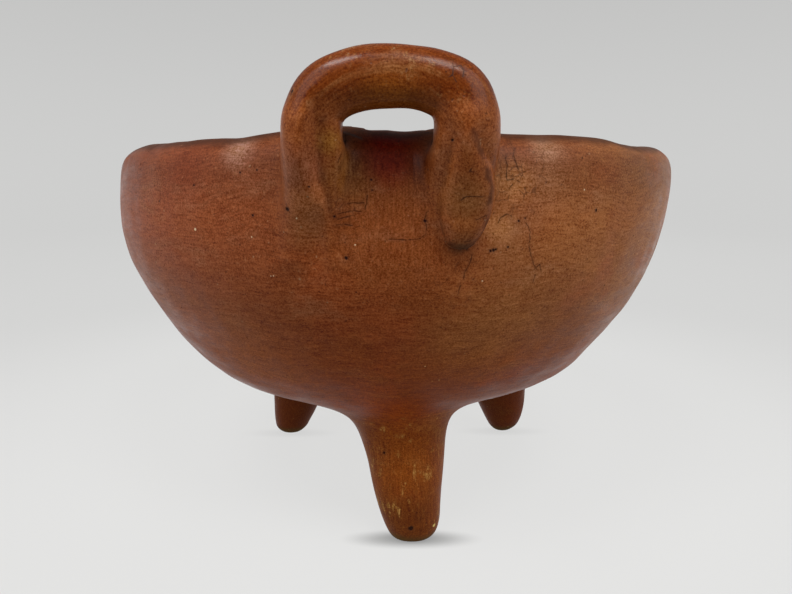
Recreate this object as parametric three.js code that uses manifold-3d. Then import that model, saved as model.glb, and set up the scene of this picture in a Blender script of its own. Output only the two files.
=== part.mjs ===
// Pig effigy dish: a low-fired clay bowl carried on three solid legs, with a loop
// tail for a handle at the back and a pig's head luted to the wall at the front.
// Millimetres, +Z up. The head looks along +Y, the tail is at -Y, the feet stand on Z = 0.
// Every lump of clay the potter made on its own and luted on is a mesh of its own.

import * as THREE from 'three';
import { mergeVertices } from 'three/addons/utils/BufferGeometryUtils.js';
import Module from 'manifold-3d';

const wasm = await Module();
wasm.setup();

// ---------------------------------------------------------------- dimensions
const JOINT_GAP = 0.3;          // clearance between two luted pieces
const ORIGIN_SHIFT = [0.42, -14.33, 0];  // bowl axis, seen from the middle of the whole object's box

// Bowl, outside: radius and height, from the middle of the base up to the widest point
const BOWL_OUTER = [
  [11.34, 39.52], [22.66, 40.16], [33.83, 41.76], [44.76, 44.55], [55.55, 48.09],
  [66.14, 52.19], [75.81, 57.94], [84.13, 65.68], [91.13, 74.59], [97.23, 84.12],
  [102.74, 93.99], [107.11, 104.43], [109.47, 115.48], [110.0, 126.8],
  [109.95, 134.0], [109.47, 138.0], [108.3, 140.7], [106.3, 142.9], [103.9, 144.5], [101.6, 145.3],
];
const BOWL_BASE_Z = 39.4;       // underside of the bowl on its axis
const BOWL_LIP = [[99.6, 145.2], [97.9, 144.0], [97.3, 142.2]];   // rounded lip, going inwards
// Bowl, inside: from under the lip down to the floor of the dish
const BOWL_INNER = [
  [98.6, 138.6], [100.2, 133.5], [101.0, 126.5], [100.6, 116.5], [98.6, 106.2], [94.6, 96.6],
  [89.4, 87.4], [83.4, 78.4], [76.6, 69.8], [68.6, 62.6], [59.4, 57.6], [47.5, 53.4],
  [35.4, 50.6], [23.4, 49.0], [11.6, 48.3],
];
const BOWL_FLOOR_Z = 48.2;      // floor of the dish on its axis
const BOWL_SEGMENTS = 64;
const BOWL_LEAN = [[39.4, -0.97], [65.9, -1.99], [92.4, -1.67], [118.8, -1.19], [145.3, 0.75]]; // height, sideways drift
const RIM_LIFT_AT_TAIL = 1.6;   // the rim is drawn up where the tail is luted on
const RIM_LIFT_HALF_ANGLE = 0.42;

// Rear leg: height, left edge, right edge, middle in Y, half depth
const LEG_REAR = [
  [0.0, -1.0, 13.2, -60.3, 6.4], [1.0, -3.1, 15.4, -60.3, 8.3], [3.0, -4.2, 16.0, -60.1, 9.6],
  [7.0, -5.9, 16.7, -59.8, 10.8], [12.8, -7.7, 16.9, -59.2, 11.8], [20.6, -9.6, 17.6, -58.2, 12.8],
  [28.4, -11.1, 18.0, -57.0, 13.6], [34.0, -12.6, 18.8, -56.2, 14.8], [38.5, -14.6, 19.5, -55.6, 16.4],
  [42.5, -17.4, 20.8, -55.1, 18.6], [47.0, -21.0, 22.8, -54.6, 21.4], [53.5, -24.5, 25.4, -54.0, 24.0],
  [60.0, -26.0, 27.0, -53.0, 25.0],
];
// Front legs: height, inner edge offset, outer edge offset along the leg's own radial line, half width across it
const LEG_FRONT = [
  [0.0, -5.2, 5.2, 5.4], [1.2, -6.7, 6.7, 6.7], [3.8, -8.4, 8.1, 8.2], [7.9, -10.0, 9.0, 9.4],
  [13.9, -11.8, 9.5, 10.6], [21.8, -14.2, 9.6, 11.8], [30.0, -16.8, 9.7, 12.8], [38.0, -19.6, 10.1, 14.2],
  [45.0, -23.0, 11.4, 16.8], [52.0, -27.0, 13.6, 20.0], [60.0, -29.0, 15.0, 22.0],
];
const LEG_FRONT_LEFT_FOOT = [-56.0, 34.6];
const LEG_FRONT_RIGHT_FOOT = [57.3, 36.8];
const LEG_FRONT_RIGHT_SLIM = 0.95;
const LEG_SIDES = 16;

// Loop tail: centre line X, Y, Z, half width along the loop's plane, half thickness out from the wall
const TAIL_PATH = [
  [-20.6, -105.0, 120.0, 5.5, 4.6], [-21.2, -108.6, 125.5, 8.0, 5.6], [-21.2, -112.4, 134.5, 8.3, 6.6],
  [-20.9, -115.4, 143.5, 8.3, 7.1], [-18.7, -116.3, 151.6, 8.1, 7.2], [-12.6, -116.4, 157.3, 7.6, 7.2],
  [-2.5, -116.4, 159.3, 7.2, 7.2], [7.9, -116.4, 157.7, 7.4, 7.2], [15.6, -116.3, 151.6, 8.0, 7.2],
  [17.9, -115.6, 143.5, 8.2, 7.1], [18.2, -113.6, 134.5, 8.2, 6.0], [18.0, -111.8, 126.5, 7.9, 5.0],
  [17.6, -109.6, 119.0, 6.2, 4.2], [17.4, -107.4, 115.6, 3.4, 2.6],
];
const TAIL_STEPS = 40;
const TAIL_SIDES = 14;

// Head: a rounded lump on the front wall, with a drum snout, two leaf ears and two pellet eyes
const HEAD_CENTRE = [0, 110.5, 120.5];
const HEAD_RADII = [28.5, 29.5, 24.0];
const HEAD_TILT = -0.10;        // nose a little down
const SNOUT_BASE = [0, 128.5, 116.0];
const SNOUT_AXIS = [0, 0.985, -0.17];
const SNOUT_PROFILE = [[17.0, 0], [16.0, 5], [15.0, 11], [14.8, 18.0], [14.2, 20.6], [12.4, 21.8]];
const NOSTRIL = { r: 2.8, depth: 5.0, apart: 11.4 };
const MOUTH = { centre: [0, 134.0, 102.6], radii: [13.0, 10.0, 1.7] };
const EAR_BASE = [17.0, 109.0, 136.5];   // the right ear; the left one mirrors it
const EAR_UP = [0.46, 0.34, 0.82];
const EAR_ACROSS = [0.86, -0.20, -0.40];
const EAR_SUNK = 6.0;           // how far the ear's root runs into the head before the cut
const EAR_LENGTH = 20.5;
const EAR_HALF_WIDTH = 9.6;
const EAR_HALF_THICKNESS = 3.1;
const EAR_OUTLINE = [[0, 0.72], [0.2, 0.92], [0.4, 1.0], [0.58, 0.92], [0.75, 0.68], [0.89, 0.40], [0.97, 0.20], [1, 0.08]];
const EYE_AT = [13.6, 131.0, 130.4];
const EYE_RADIUS = 3.9;

// ---------------------------------------------------------------- helpers
function toSolid(geometry) {
  const g0 = geometry.clone();
  g0.deleteAttribute('normal');
  g0.deleteAttribute('uv');
  const g = mergeVertices(g0, 1e-4);
  const index = Array.from(g.index.array);
  const tris = [];
  for (let i = 0; i < index.length; i += 3) {
    const [a, b, c] = [index[i], index[i + 1], index[i + 2]];
    if (a !== b && b !== c && a !== c) tris.push(a, b, c);
  }
  const make = (t) => new wasm.Manifold(new wasm.Mesh({
    numProp: 3,
    vertProperties: new Float32Array(g.attributes.position.array),
    triVerts: new Uint32Array(t),
  }));
  let solid = make(tris);
  if (solid.volume() < 0) {
    for (let i = 0; i < tris.length; i += 3) [tris[i + 1], tris[i + 2]] = [tris[i + 2], tris[i + 1]];
    solid = make(tris);
  }
  return solid;
}

function toGeometry(solid) {
  const m = solid.getMesh();
  const p = new Float32Array((m.vertProperties.length / m.numProp) * 3);
  for (let i = 0; i < p.length / 3; i++) {
    for (let k = 0; k < 3; k++) p[3 * i + k] = m.vertProperties[i * m.numProp + k];
  }
  const g = new THREE.BufferGeometry();
  g.setAttribute('position', new THREE.BufferAttribute(p, 3));
  g.setIndex(Array.from(m.triVerts));
  g.computeVertexNormals();
  return g;
}

// A closed body through a row of rings, each an array of Vector3 with the same count
function loft(rings) {
  const n = rings[0].length;
  const pos = [];
  for (const ring of rings) for (const v of ring) pos.push(v.x, v.y, v.z);
  const idx = [];
  for (let r = 0; r + 1 < rings.length; r++) {
    for (let i = 0; i < n; i++) {
      const a = r * n + i, b = r * n + ((i + 1) % n), c = a + n, d = b + n;
      idx.push(a, b, d, a, d, c);
    }
  }
  for (const [r, flip] of [[0, true], [rings.length - 1, false]]) {
    const centre = rings[r].reduce((s, v) => s.add(v), new THREE.Vector3()).multiplyScalar(1 / n);
    const ci = pos.length / 3;
    pos.push(centre.x, centre.y, centre.z);
    for (let i = 0; i < n; i++) {
      const a = r * n + i, b = r * n + ((i + 1) % n);
      if (flip) idx.push(ci, b, a); else idx.push(ci, a, b);
    }
  }
  const g = new THREE.BufferGeometry();
  g.setAttribute('position', new THREE.Float32BufferAttribute(pos, 3));
  g.setIndex(idx);
  return g;
}

function interpolate(table, x) {
  if (x <= table[0][0]) return table[0][1];
  for (let i = 0; i + 1 < table.length; i++) {
    const [x0, y0] = table[i], [x1, y1] = table[i + 1];
    if (x <= x1) return y0 + (y1 - y0) * (x - x0) / (x1 - x0);
  }
  return table[table.length - 1][1];
}

function smoothstep(a, b, x) {
  const t = Math.min(1, Math.max(0, (x - a) / (b - a)));
  return t * t * (3 - 2 * t);
}

// The bowl is not quite true: it leans a little, and its rim is drawn up at the tail
function throwOffTrue(geometry) {
  const p = geometry.attributes.position;
  for (let i = 0; i < p.count; i++) {
    const x = p.getX(i), y = p.getY(i), z = p.getZ(i);
    const angle = Math.atan2(x, -y);
    const lift = RIM_LIFT_AT_TAIL * Math.exp(-((angle / RIM_LIFT_HALF_ANGLE) ** 2)) * smoothstep(108, 144, z);
    const fade = Math.min(1, Math.hypot(x, y) / 12);
    p.setXYZ(i, x + interpolate(BOWL_LEAN, z) * (fade * 0.999 + 0.001), y, z + lift);
  }
  return geometry;
}

function revolve(profile, segments) {
  const g = new THREE.LatheGeometry(profile.map(([r, z]) => new THREE.Vector2(r, z)), segments);
  g.rotateX(Math.PI / 2);
  return g;
}

// The bowl's outside as a filled body, grown by a clearance: what the luted pieces are cut against
function bowlOutsideFilled(grow) {
  const pts = [[0, BOWL_BASE_Z - grow]];
  const all = [[0, BOWL_BASE_Z], ...BOWL_OUTER];
  for (let i = 1; i < all.length; i++) {
    const a = all[i - 1], b = all[Math.min(i + 1, all.length - 1)];
    const t = new THREE.Vector2(b[0] - a[0], b[1] - a[1]).normalize();
    pts.push([all[i][0] + t.y * grow, all[i][1] - t.x * grow]);
  }
  const last = pts[pts.length - 1];
  pts.push([BOWL_LIP[1][0], last[1] + grow * 0.5]);
  pts.push([0, last[1] + grow * 0.5]);
  return toSolid(throwOffTrue(revolve(pts, BOWL_SEGMENTS)));
}

const bowlCutter = bowlOutsideFilled(JOINT_GAP);

// ---------------------------------------------------------------- bowl
const bowlProfile = [[0, BOWL_BASE_Z], ...BOWL_OUTER, ...BOWL_LIP, ...BOWL_INNER, [0, BOWL_FLOOR_Z]];
const bowlSolid = toSolid(throwOffTrue(revolve(bowlProfile, BOWL_SEGMENTS)));

// ---------------------------------------------------------------- legs
function ovalRing(cx, cy, z, hx, hy, turn, sides) {
  const ring = [];
  for (let i = 0; i < sides; i++) {
    const t = (i / sides) * 2 * Math.PI;
    const u = hx * Math.cos(t), v = hy * Math.sin(t);
    ring.push(new THREE.Vector3(cx + u * Math.cos(turn) - v * Math.sin(turn), cy + u * Math.sin(turn) + v * Math.cos(turn), z));
  }
  return ring;
}

const legRearSolid = toSolid(loft(LEG_REAR.map(([z, l, r, cy, hd]) =>
  ovalRing((l + r) / 2, cy, z, (r - l) / 2, hd, 0, LEG_SIDES)))).subtract(bowlCutter);

function frontLeg([fx, fy], slim) {
  const turn = Math.atan2(fy, fx);
  return toSolid(loft(LEG_FRONT.map(([z, inner, outer, half]) => {
    const mid = (inner + outer) / 2;
    return ovalRing(fx + mid * Math.cos(turn), fy + mid * Math.sin(turn), z, slim * (outer - inner) / 2, slim * half, turn, LEG_SIDES);
  }))).subtract(bowlCutter);
}

// ---------------------------------------------------------------- tail
const tailCurve = new THREE.CatmullRomCurve3(TAIL_PATH.map(([x, y, z]) => new THREE.Vector3(x, y, z)), false, 'centripetal');
const tailRings = [];
for (let i = 0; i <= TAIL_STEPS; i++) {
  const t = i / TAIL_STEPS;
  const k = Math.min(TAIL_PATH.length - 2, Math.floor(t * (TAIL_PATH.length - 1)));
  const f = t * (TAIL_PATH.length - 1) - k;
  const half = TAIL_PATH[k][3] * (1 - f) + TAIL_PATH[k + 1][3] * f;
  const thick = TAIL_PATH[k][4] * (1 - f) + TAIL_PATH[k + 1][4] * f;
  const c = tailCurve.getPoint(t);
  const tangent = tailCurve.getTangent(t);
  const across = new THREE.Vector3(tangent.z, 0, -tangent.x).normalize();
  const out = new THREE.Vector3().crossVectors(across, tangent).normalize();
  const ring = [];
  for (let s = 0; s < TAIL_SIDES; s++) {
    const a = (s / TAIL_SIDES) * 2 * Math.PI;
    ring.push(c.clone().addScaledVector(across, half * Math.cos(a)).addScaledVector(out, thick * Math.sin(a)));
  }
  tailRings.push(ring);
}
const tailSolid = toSolid(loft(tailRings)).subtract(bowlCutter);

// ---------------------------------------------------------------- head
function ellipsoid(centre, radii, grow, wide, high, tilt) {
  const g = new THREE.SphereGeometry(1, wide, high);
  g.rotateX(Math.PI / 2);
  g.scale(radii[0] + grow, radii[1] + grow, radii[2] + grow);
  g.rotateX(tilt);
  g.translate(...centre);
  return toSolid(g);
}

const headGrown = ellipsoid(HEAD_CENTRE, HEAD_RADII, JOINT_GAP, 32, 20, HEAD_TILT);
const headSolid = ellipsoid(HEAD_CENTRE, HEAD_RADII, 0, 32, 20, HEAD_TILT)
  .subtract(ellipsoid(MOUTH.centre, MOUTH.radii, 0, 20, 10, HEAD_TILT - 0.35))
  .subtract(bowlCutter);

const snoutAxis = new THREE.Vector3(...SNOUT_AXIS).normalize();
const snoutTurn = new THREE.Quaternion().setFromUnitVectors(new THREE.Vector3(0, 1, 0), snoutAxis);
function alongSnout(geometry) {
  geometry.applyQuaternion(snoutTurn);
  geometry.translate(...SNOUT_BASE);
  return geometry;
}
const snoutProfile = [[0, 0], ...SNOUT_PROFILE, [0, SNOUT_PROFILE[SNOUT_PROFILE.length - 1][1]]];
let snoutSolid = toSolid(alongSnout(new THREE.LatheGeometry(snoutProfile.map(([r, h]) => new THREE.Vector2(r, h)), 28)));
for (const side of [-1, 1]) {
  const hole = new THREE.CylinderGeometry(NOSTRIL.r, NOSTRIL.r * 0.8, NOSTRIL.depth * 2, 12);
  hole.translate(side * NOSTRIL.apart / 2, SNOUT_PROFILE[SNOUT_PROFILE.length - 1][1], 0);
  snoutSolid = snoutSolid.subtract(toSolid(alongSnout(hole)));
}
snoutSolid = snoutSolid.subtract(headGrown);

// Leaf ear: starts wide on the head, ends in a soft point, dished on its front face
function ear(side) {
  const up = new THREE.Vector3(...EAR_UP).normalize();
  const across = new THREE.Vector3(...EAR_ACROSS);
  across.addScaledVector(up, -across.dot(up)).normalize();
  const front = new THREE.Vector3().crossVectors(across, up).normalize();
  const start = new THREE.Vector3(...EAR_BASE).addScaledVector(up, -EAR_SUNK);
  const rings = EAR_OUTLINE.map(([t, w]) => {
    const c = start.clone().addScaledVector(up, t * (EAR_LENGTH + EAR_SUNK));
    const ring = [];
    for (let i = 0; i < 14; i++) {
      const a = (i / 14) * 2 * Math.PI;
      const edge = Math.cos(a) ** 2;
      const v = c.clone()
        .addScaledVector(across, EAR_HALF_WIDTH * w * Math.cos(a))
        .addScaledVector(front, -EAR_HALF_THICKNESS * (0.45 + 0.55 * w) * Math.sin(a) - 2.6 * w * edge);
      ring.push(new THREE.Vector3(side * v.x, v.y, v.z));
    }
    return ring;
  });
  return toSolid(loft(rings)).subtract(headGrown).subtract(bowlCutter);
}

function eye(side) {
  return ellipsoid([side * EYE_AT[0], EYE_AT[1], EYE_AT[2]], [EYE_RADIUS, EYE_RADIUS * 0.9, EYE_RADIUS], 0, 14, 10, 0)
    .subtract(headGrown).subtract(bowlCutter);
}

// ---------------------------------------------------------------- the assembly
const CLAY = {
  wall: { color: 0x8a4a30, roughness: 0.5, metalness: 0 },
  leg: { color: 0x7a3e22, roughness: 0.55, metalness: 0 },
  tail: { color: 0x84401f, roughness: 0.42, metalness: 0 },
  head: { color: 0x874528, roughness: 0.48, metalness: 0 },
  eye: { color: 0x6a3119, roughness: 0.45, metalness: 0 },
};

const dish = new THREE.Group();
dish.name = 'pig_effigy_dish';
dish.position.set(...ORIGIN_SHIFT);

function add(name, solid, clay) {
  const mesh = new THREE.Mesh(toGeometry(solid), new THREE.MeshStandardMaterial(clay));
  mesh.name = name;
  dish.add(mesh);
  return mesh;
}

add('bowl_shell', bowlSolid, CLAY.wall);
add('leg_rear', legRearSolid, CLAY.leg);
add('leg_front_left', frontLeg(LEG_FRONT_LEFT_FOOT, 1), CLAY.leg);
add('leg_front_right', frontLeg(LEG_FRONT_RIGHT_FOOT, LEG_FRONT_RIGHT_SLIM), CLAY.leg);
add('tail_loop', tailSolid, CLAY.tail);
add('head_boss', headSolid, CLAY.head);
add('snout', snoutSolid, CLAY.head);
add('ear_left', ear(-1), CLAY.head);
add('ear_right', ear(1), CLAY.head);
add('eye_left', eye(-1), CLAY.eye);
add('eye_right', eye(1), CLAY.eye);

export default dish;
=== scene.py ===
import math

import bpy
import numpy as np
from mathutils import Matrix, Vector


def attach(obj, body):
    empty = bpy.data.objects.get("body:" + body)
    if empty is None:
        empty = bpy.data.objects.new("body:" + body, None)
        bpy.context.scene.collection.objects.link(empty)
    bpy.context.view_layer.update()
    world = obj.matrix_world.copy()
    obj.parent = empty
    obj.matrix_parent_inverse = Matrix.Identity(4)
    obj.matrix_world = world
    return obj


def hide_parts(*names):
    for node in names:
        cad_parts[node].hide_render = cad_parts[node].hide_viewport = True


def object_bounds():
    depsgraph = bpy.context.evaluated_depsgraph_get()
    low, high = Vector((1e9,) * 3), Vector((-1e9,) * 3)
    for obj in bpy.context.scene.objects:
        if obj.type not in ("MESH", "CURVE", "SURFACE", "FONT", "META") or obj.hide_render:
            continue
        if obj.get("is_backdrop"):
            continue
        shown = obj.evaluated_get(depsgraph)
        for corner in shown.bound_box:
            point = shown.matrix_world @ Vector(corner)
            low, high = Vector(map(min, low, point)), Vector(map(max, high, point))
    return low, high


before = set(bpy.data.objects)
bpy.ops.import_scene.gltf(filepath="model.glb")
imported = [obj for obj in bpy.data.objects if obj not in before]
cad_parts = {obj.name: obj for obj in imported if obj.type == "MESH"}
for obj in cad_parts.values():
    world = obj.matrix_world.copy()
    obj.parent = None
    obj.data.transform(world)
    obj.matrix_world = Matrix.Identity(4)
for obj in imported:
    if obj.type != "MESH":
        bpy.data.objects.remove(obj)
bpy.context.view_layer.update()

# Burnished clay pig effigy dish. Shapes are worked out in millimetres round the bowl's own axis
# and then moved to the frame: bowl, legs, tail and head are fields, so that the joints between the
# luted pieces can be smeared into each other as wet clay is.

SHIFT = np.array([0.42, -14.33, 0.0])      # bowl axis in the frame, mm
rng = np.random.default_rng(7)

# ------------------------------------------------------------------ small helpers


def smoothstep(a, b, x):
    t = np.clip((x - a) / (b - a), 0.0, 1.0)
    return t * t * (3 - 2 * t)


def smin(a, b, k):
    h = np.maximum(k - np.abs(a - b), 0.0) / k
    return np.minimum(a, b) - h * h * h * k / 6.0


def smax(a, b, k):
    return -smin(-a, -b, k)


def oval(offsets, halves, n):
    """Distance, near enough, to an oval with the given half sizes and squareness n."""
    q = [np.abs(o) / h for o, h in zip(offsets, halves)]
    rho = np.maximum(sum(v ** n for v in q) ** (1 / n), 1e-3)
    slope = np.sqrt(sum(((v / rho) ** (n - 1) / h) ** 2 for v, h in zip(q, halves)))
    return (rho - 1) / slope


def catmull(points, per):
    """A smooth row of points through the given ones, per steps each, centripetal."""
    p = np.asarray(points, float)
    p = np.vstack([2 * p[0] - p[1], p, 2 * p[-1] - p[-2]])
    out = []
    for i in range(1, len(p) - 2):
        p0, p1, p2, p3 = p[i - 1], p[i], p[i + 1], p[i + 2]
        m = min(3, p.shape[1])
        d = [max(np.linalg.norm((b - a)[:m]), 1e-6) ** 0.5 for a, b in ((p0, p1), (p1, p2), (p2, p3))]
        t0, t1 = 0.0, d[0]
        t2, t3 = t1 + d[1], t1 + d[1] + d[2]
        for s in range(per):
            t = t1 + (t2 - t1) * s / per
            a1 = (t1 - t) / (t1 - t0) * p0 + (t - t0) / (t1 - t0) * p1
            a2 = (t2 - t) / (t2 - t1) * p1 + (t - t1) / (t2 - t1) * p2
            a3 = (t3 - t) / (t3 - t2) * p2 + (t - t2) / (t3 - t2) * p3
            b1 = (t2 - t) / (t2 - t0) * a1 + (t - t0) / (t2 - t0) * a2
            b2 = (t3 - t) / (t3 - t1) * a2 + (t - t1) / (t3 - t1) * a3
            out.append((t2 - t) / (t2 - t1) * b1 + (t - t1) / (t2 - t1) * b2)
    out.append(p[-2])
    return np.array(out)


def waves(seed, n, short, long, flat=1.0, tall=1.0):
    """A smooth random field of about unit size: a sum of n plane waves. flat and tall stretch it along the wall and up it."""
    r = np.random.default_rng(seed)
    d = r.normal(size=(n, 3))
    d /= np.linalg.norm(d, axis=1)[:, None]
    d *= np.array([1 / flat, 1 / flat, 1 / tall])
    lam = np.exp(r.uniform(math.log(short), math.log(long), n))
    k = 2 * np.pi * d / lam[:, None]
    ph = r.uniform(0, 2 * np.pi, n)
    amp = (lam / lam.max()) ** 0.6
    amp /= np.sqrt((amp ** 2).sum() / 2)

    def f(p):
        return np.sin(p @ k.T + ph) @ amp

    return f


# ------------------------------------------------------------------ the bowl

BOWL_OUTER = [
    [11.34, 39.9], [22.66, 40.9], [33.83, 42.8], [44.9, 45.7], [56.0, 49.2],
    [66.9, 52.7], [76.8, 57.9], [85.3, 65.6], [92.5, 74.6], [98.4, 84.1],
    [103.7, 94.0], [107.75, 104.4], [110.0, 115.5], [110.5, 126.8],
    [110.5, 134.0], [110.0, 138.0], [108.9, 140.8], [106.9, 143.0], [104.3, 144.6], [101.6, 145.3],
]
BOWL_LIP = [[99.6, 145.2], [97.9, 144.0], [97.3, 142.2]]
BOWL_INNER = [
    [98.6, 138.6], [100.2, 133.5], [101.0, 126.5], [100.6, 116.5], [98.6, 106.2], [94.6, 96.6],
    [89.4, 87.4], [83.4, 78.4], [76.6, 69.8], [68.6, 62.6], [59.4, 58.2], [47.5, 54.5],
    [35.4, 51.6], [23.4, 49.7], [11.6, 48.6],
]
outer_line = catmull([[0, 39.6]] + BOWL_OUTER + BOWL_LIP + BOWL_INNER + [[0, 48.3]], 6)

LEAN = np.polyfit([39.4, 65.9, 92.4, 118.8, 145.3], [-0.97, -1.99, -1.67, -1.19, 0.75], 4)
# How much higher than level the rim stands, by angle from the tail (degrees, mm)
RIM = np.array([
    [-180, 0.2], [-150, -0.3], [-120, 0.35], [-95, 0.0], [-67, -0.1], [-57, 0.1], [-47, 0.0], [-42, 0.2],
    [-38, 0.45], [-34, 0.7], [-31, 0.62], [-27, 0.4], [-24, 0.8], [-20, 1.5], [-14, 2.8], [-9, 3.4], [-7, 3.3],
    [-5.7, 3.0], [-4.4, 2.6], [-3, 2.25], [0, 1.65], [2.5, 1.8], [4, 2.45], [5, 3.0], [7, 3.0], [11, 1.9], [17, 1.1],
    [22, 1.1], [28, 1.15], [34, 1.05], [37, 0.8], [40, 0.15], [43, -0.4], [47, -0.6], [52, -0.45], [60, -0.1],
    [71, 0.1], [90, 0.3], [115, -0.2], [140, 0.4], [165, -0.1], [180, 0.2],
])
# How far the wall stands out at the left and right sides, by height (mm): flats and swellings left by the hand
UNEVEN_LEFT = [
    (58, -0.1), (62, 0.1), (69, 0.0), (73, 0.2), (77, 0.0), (81, -0.1), (85, -0.15), (89, -0.2), (93, 0.0),
    (97, 0.0), (101, 0.2), (104, 0.45), (108, 0.4), (112, 0.25), (116, 0.3), (119, 0.15), (122, 0.15),
    (126, 0.2), (130, -0.1), (133, -0.2), (137, -0.3), (141, 0.0), (150, 0.0),
]
UNEVEN_RIGHT = [
    (55, 0.2), (58, 0.5), (62, 1.25), (66, 0.45), (69, 0.05), (73, 0.0), (77, 0.1), (81, -0.05), (85, 0.4),
    (89, 0.35), (93, 0.0), (97, 0.1), (101, -0.2), (104, -0.35), (108, -0.35), (112, -0.4), (116, -0.3),
    (119, 0.0), (122, 0.1), (126, 0.4), (130, 0.4), (133, 0.3), (137, 0.1), (141, -0.1), (150, 0.0),
]


def softened(table):
    z = np.arange(40, 160, 0.5)
    v = np.interp(z, *np.array(table).T)
    g = np.exp(-0.5 * (np.arange(-10, 11) / 3.2) ** 2)
    return z, np.convolve(np.pad(v, 10, mode="edge"), g / g.sum(), mode="valid")


UNEVEN_LEFT, UNEVEN_RIGHT = softened(UNEVEN_LEFT), softened(UNEVEN_RIGHT)
_a = np.arange(-180, 180.01, 0.5)
_g = np.exp(-0.5 * (np.arange(-6, 7) / 2.2) ** 2)
RIM = np.stack([_a, np.convolve(np.pad(np.interp(_a, RIM[:, 0], RIM[:, 1]), 6, mode="edge"), _g / _g.sum(), mode="valid")], 1)


def sdf_table(line, r_max, z_lo, z_hi, h):
    """Signed distance to a closed outline in (radius, height), on a grid."""
    nr, nz = int(r_max / h) + 1, int((z_hi - z_lo) / h) + 1
    r, z = np.meshgrid(np.arange(nr) * h, z_lo + np.arange(nz) * h, indexing="ij")
    q = np.stack([r.ravel(), z.ravel()], 1)
    a = line
    b = np.roll(line, -1, 0)
    best = np.full(len(q), 1e9)
    cross = np.zeros(len(q), int)
    for p0, p1 in zip(a, b):
        e = p1 - p0
        w = q - p0
        ee = e @ e
        t = np.clip((w @ e) / ee, 0, 1) if ee > 1e-12 else np.zeros(len(q))
        if not (p0[0] < 1e-6 and p1[0] < 1e-6):      # the stretch on the axis is no surface
            d = w - t[:, None] * e
            best = np.minimum(best, (d * d).sum(1))
        up = (p0[1] <= q[:, 1]) != (p1[1] <= q[:, 1])
        if up.any() and abs(e[1]) > 1e-12:
            x = p0[0] + (q[:, 1] - p0[1]) / e[1] * e[0]
            cross += up & (q[:, 0] < x)
    d = np.sqrt(best)
    d[cross % 2 == 1] *= -1
    return d.reshape(nr, nz)


TH = 0.5
Z_LO, Z_HI, R_MAX = 20.0, 175.0, 152.0
shell_table = sdf_table(outer_line, R_MAX, Z_LO, Z_HI, TH)
filled_line = np.vstack([catmull([[0, 39.6]] + BOWL_OUTER, 6), [[60, 146.5], [0, 146.5]]])
filled_table = sdf_table(filled_line, R_MAX, Z_LO, Z_HI, TH)


def look_up(table, r, z):
    u = np.clip(r / TH, 0, table.shape[0] - 1.001)
    v = np.clip((z - Z_LO) / TH, 0, table.shape[1] - 1.001)
    i, j = u.astype(int), v.astype(int)
    fu, fv = u - i, v - j
    return ((table[i, j] * (1 - fu) + table[i + 1, j] * fu) * (1 - fv)
            + (table[i, j + 1] * (1 - fu) + table[i + 1, j + 1] * fu) * fv)


dents = waves(11, 26, 26, 75)
coils = waves(12, 16, 14, 30, flat=4.0)
facets = waves(13, 30, 7, 15, tall=2.2)


def hand(p):
    """How far the potter's hand left the wall proud of true, mm."""
    return 0.11 * dents(p) + 0.05 * coils(p) + 0.035 * facets(p)


def pot_rz(p):
    x = p[:, 0] - np.polyval(LEAN, np.clip(p[:, 2], 39, 147))
    y = p[:, 1]
    ang = np.degrees(np.arctan2(x, -y))
    lift = np.interp(ang, RIM[:, 0], RIM[:, 1]) * smoothstep(112, 143, p[:, 2])
    out = smoothstep(25, 52, np.abs(ang)) * smoothstep(125, 85, np.abs(ang))
    grow = out * np.where(x < 0, np.interp(p[:, 2], *UNEVEN_LEFT), np.interp(p[:, 2], *UNEVEN_RIGHT))
    return np.hypot(x, y) - grow, p[:, 2] - lift


def bowl(p):
    r, z = pot_rz(p)
    return look_up(shell_table, r, z) - hand(p)


def bowl_filled(p):
    r, z = pot_rz(p)
    return look_up(filled_table, r, z) - hand(p)


# ------------------------------------------------------------------ the legs

# height, left edge, right edge, middle in Y, half depth
LEG_REAR = catmull([
    [0.0, 0.4, 11.2, -60.3, 5.6], [1.0, -1.9, 13.8, -60.3, 7.6], [3.0, -3.2, 15.6, -60.1, 9.0],
    [7.0, -4.9, 16.8, -59.8, 10.4], [12.8, -6.8, 17.2, -59.2, 11.5], [20.6, -8.9, 17.5, -58.2, 12.3],
    [28.4, -10.7, 17.9, -57.0, 13.0], [36.0, -12.3, 18.4, -56.0, 13.6], [44.0, -13.0, 18.8, -55.2, 14.0],
    [60.0, -13.8, 18.8, -54.0, 14.5], [80.0, -13.8, 18.8, -54.0, 14.5],
], 6)
LEG_LEFT = catmull([
    [0.0, -60.4, -51.6, 34.7, 4.6], [1.4, -62.6, -49.8, 34.6, 6.4], [3.6, -64.3, -47.6, 34.5, 7.8],
    [6.6, -64.8, -46.0, 34.3, 8.8], [10.6, -65.0, -43.9, 34.0, 9.8], [15.5, -64.9, -41.7, 33.5, 10.6],
    [21.0, -64.7, -39.4, 32.9, 11.3], [30.0, -64.3, -36.6, 31.8, 12.0], [40.0, -63.6, -34.6, 30.6, 12.6],
    [60.0, -62.8, -33.0, 28.6, 13.4], [80.0, -62.8, -33.0, 28.6, 13.4],
], 6)
LEG_RIGHT = catmull([
    [0.0, 53.6, 61.0, 36.9, 4.2], [1.4, 51.9, 63.1, 36.8, 5.8], [3.6, 50.2, 65.3, 36.6, 7.3],
    [6.6, 48.6, 66.6, 36.3, 8.5], [10.6, 46.5, 67.6, 36.0, 9.6], [15.5, 44.0, 68.3, 35.6, 10.6],
    [21.0, 41.4, 68.6, 35.0, 11.4], [30.0, 38.6, 68.4, 33.8, 12.2], [40.0, 36.8, 67.6, 32.4, 12.8],
    [60.0, 34.8, 66.0, 30.4, 13.4], [80.0, 34.8, 66.0, 30.4, 13.4],
], 6)
leg_facets = waves(21, 24, 8, 20, tall=2.5)
leg_lumps = waves(22, 18, 18, 40)


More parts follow.
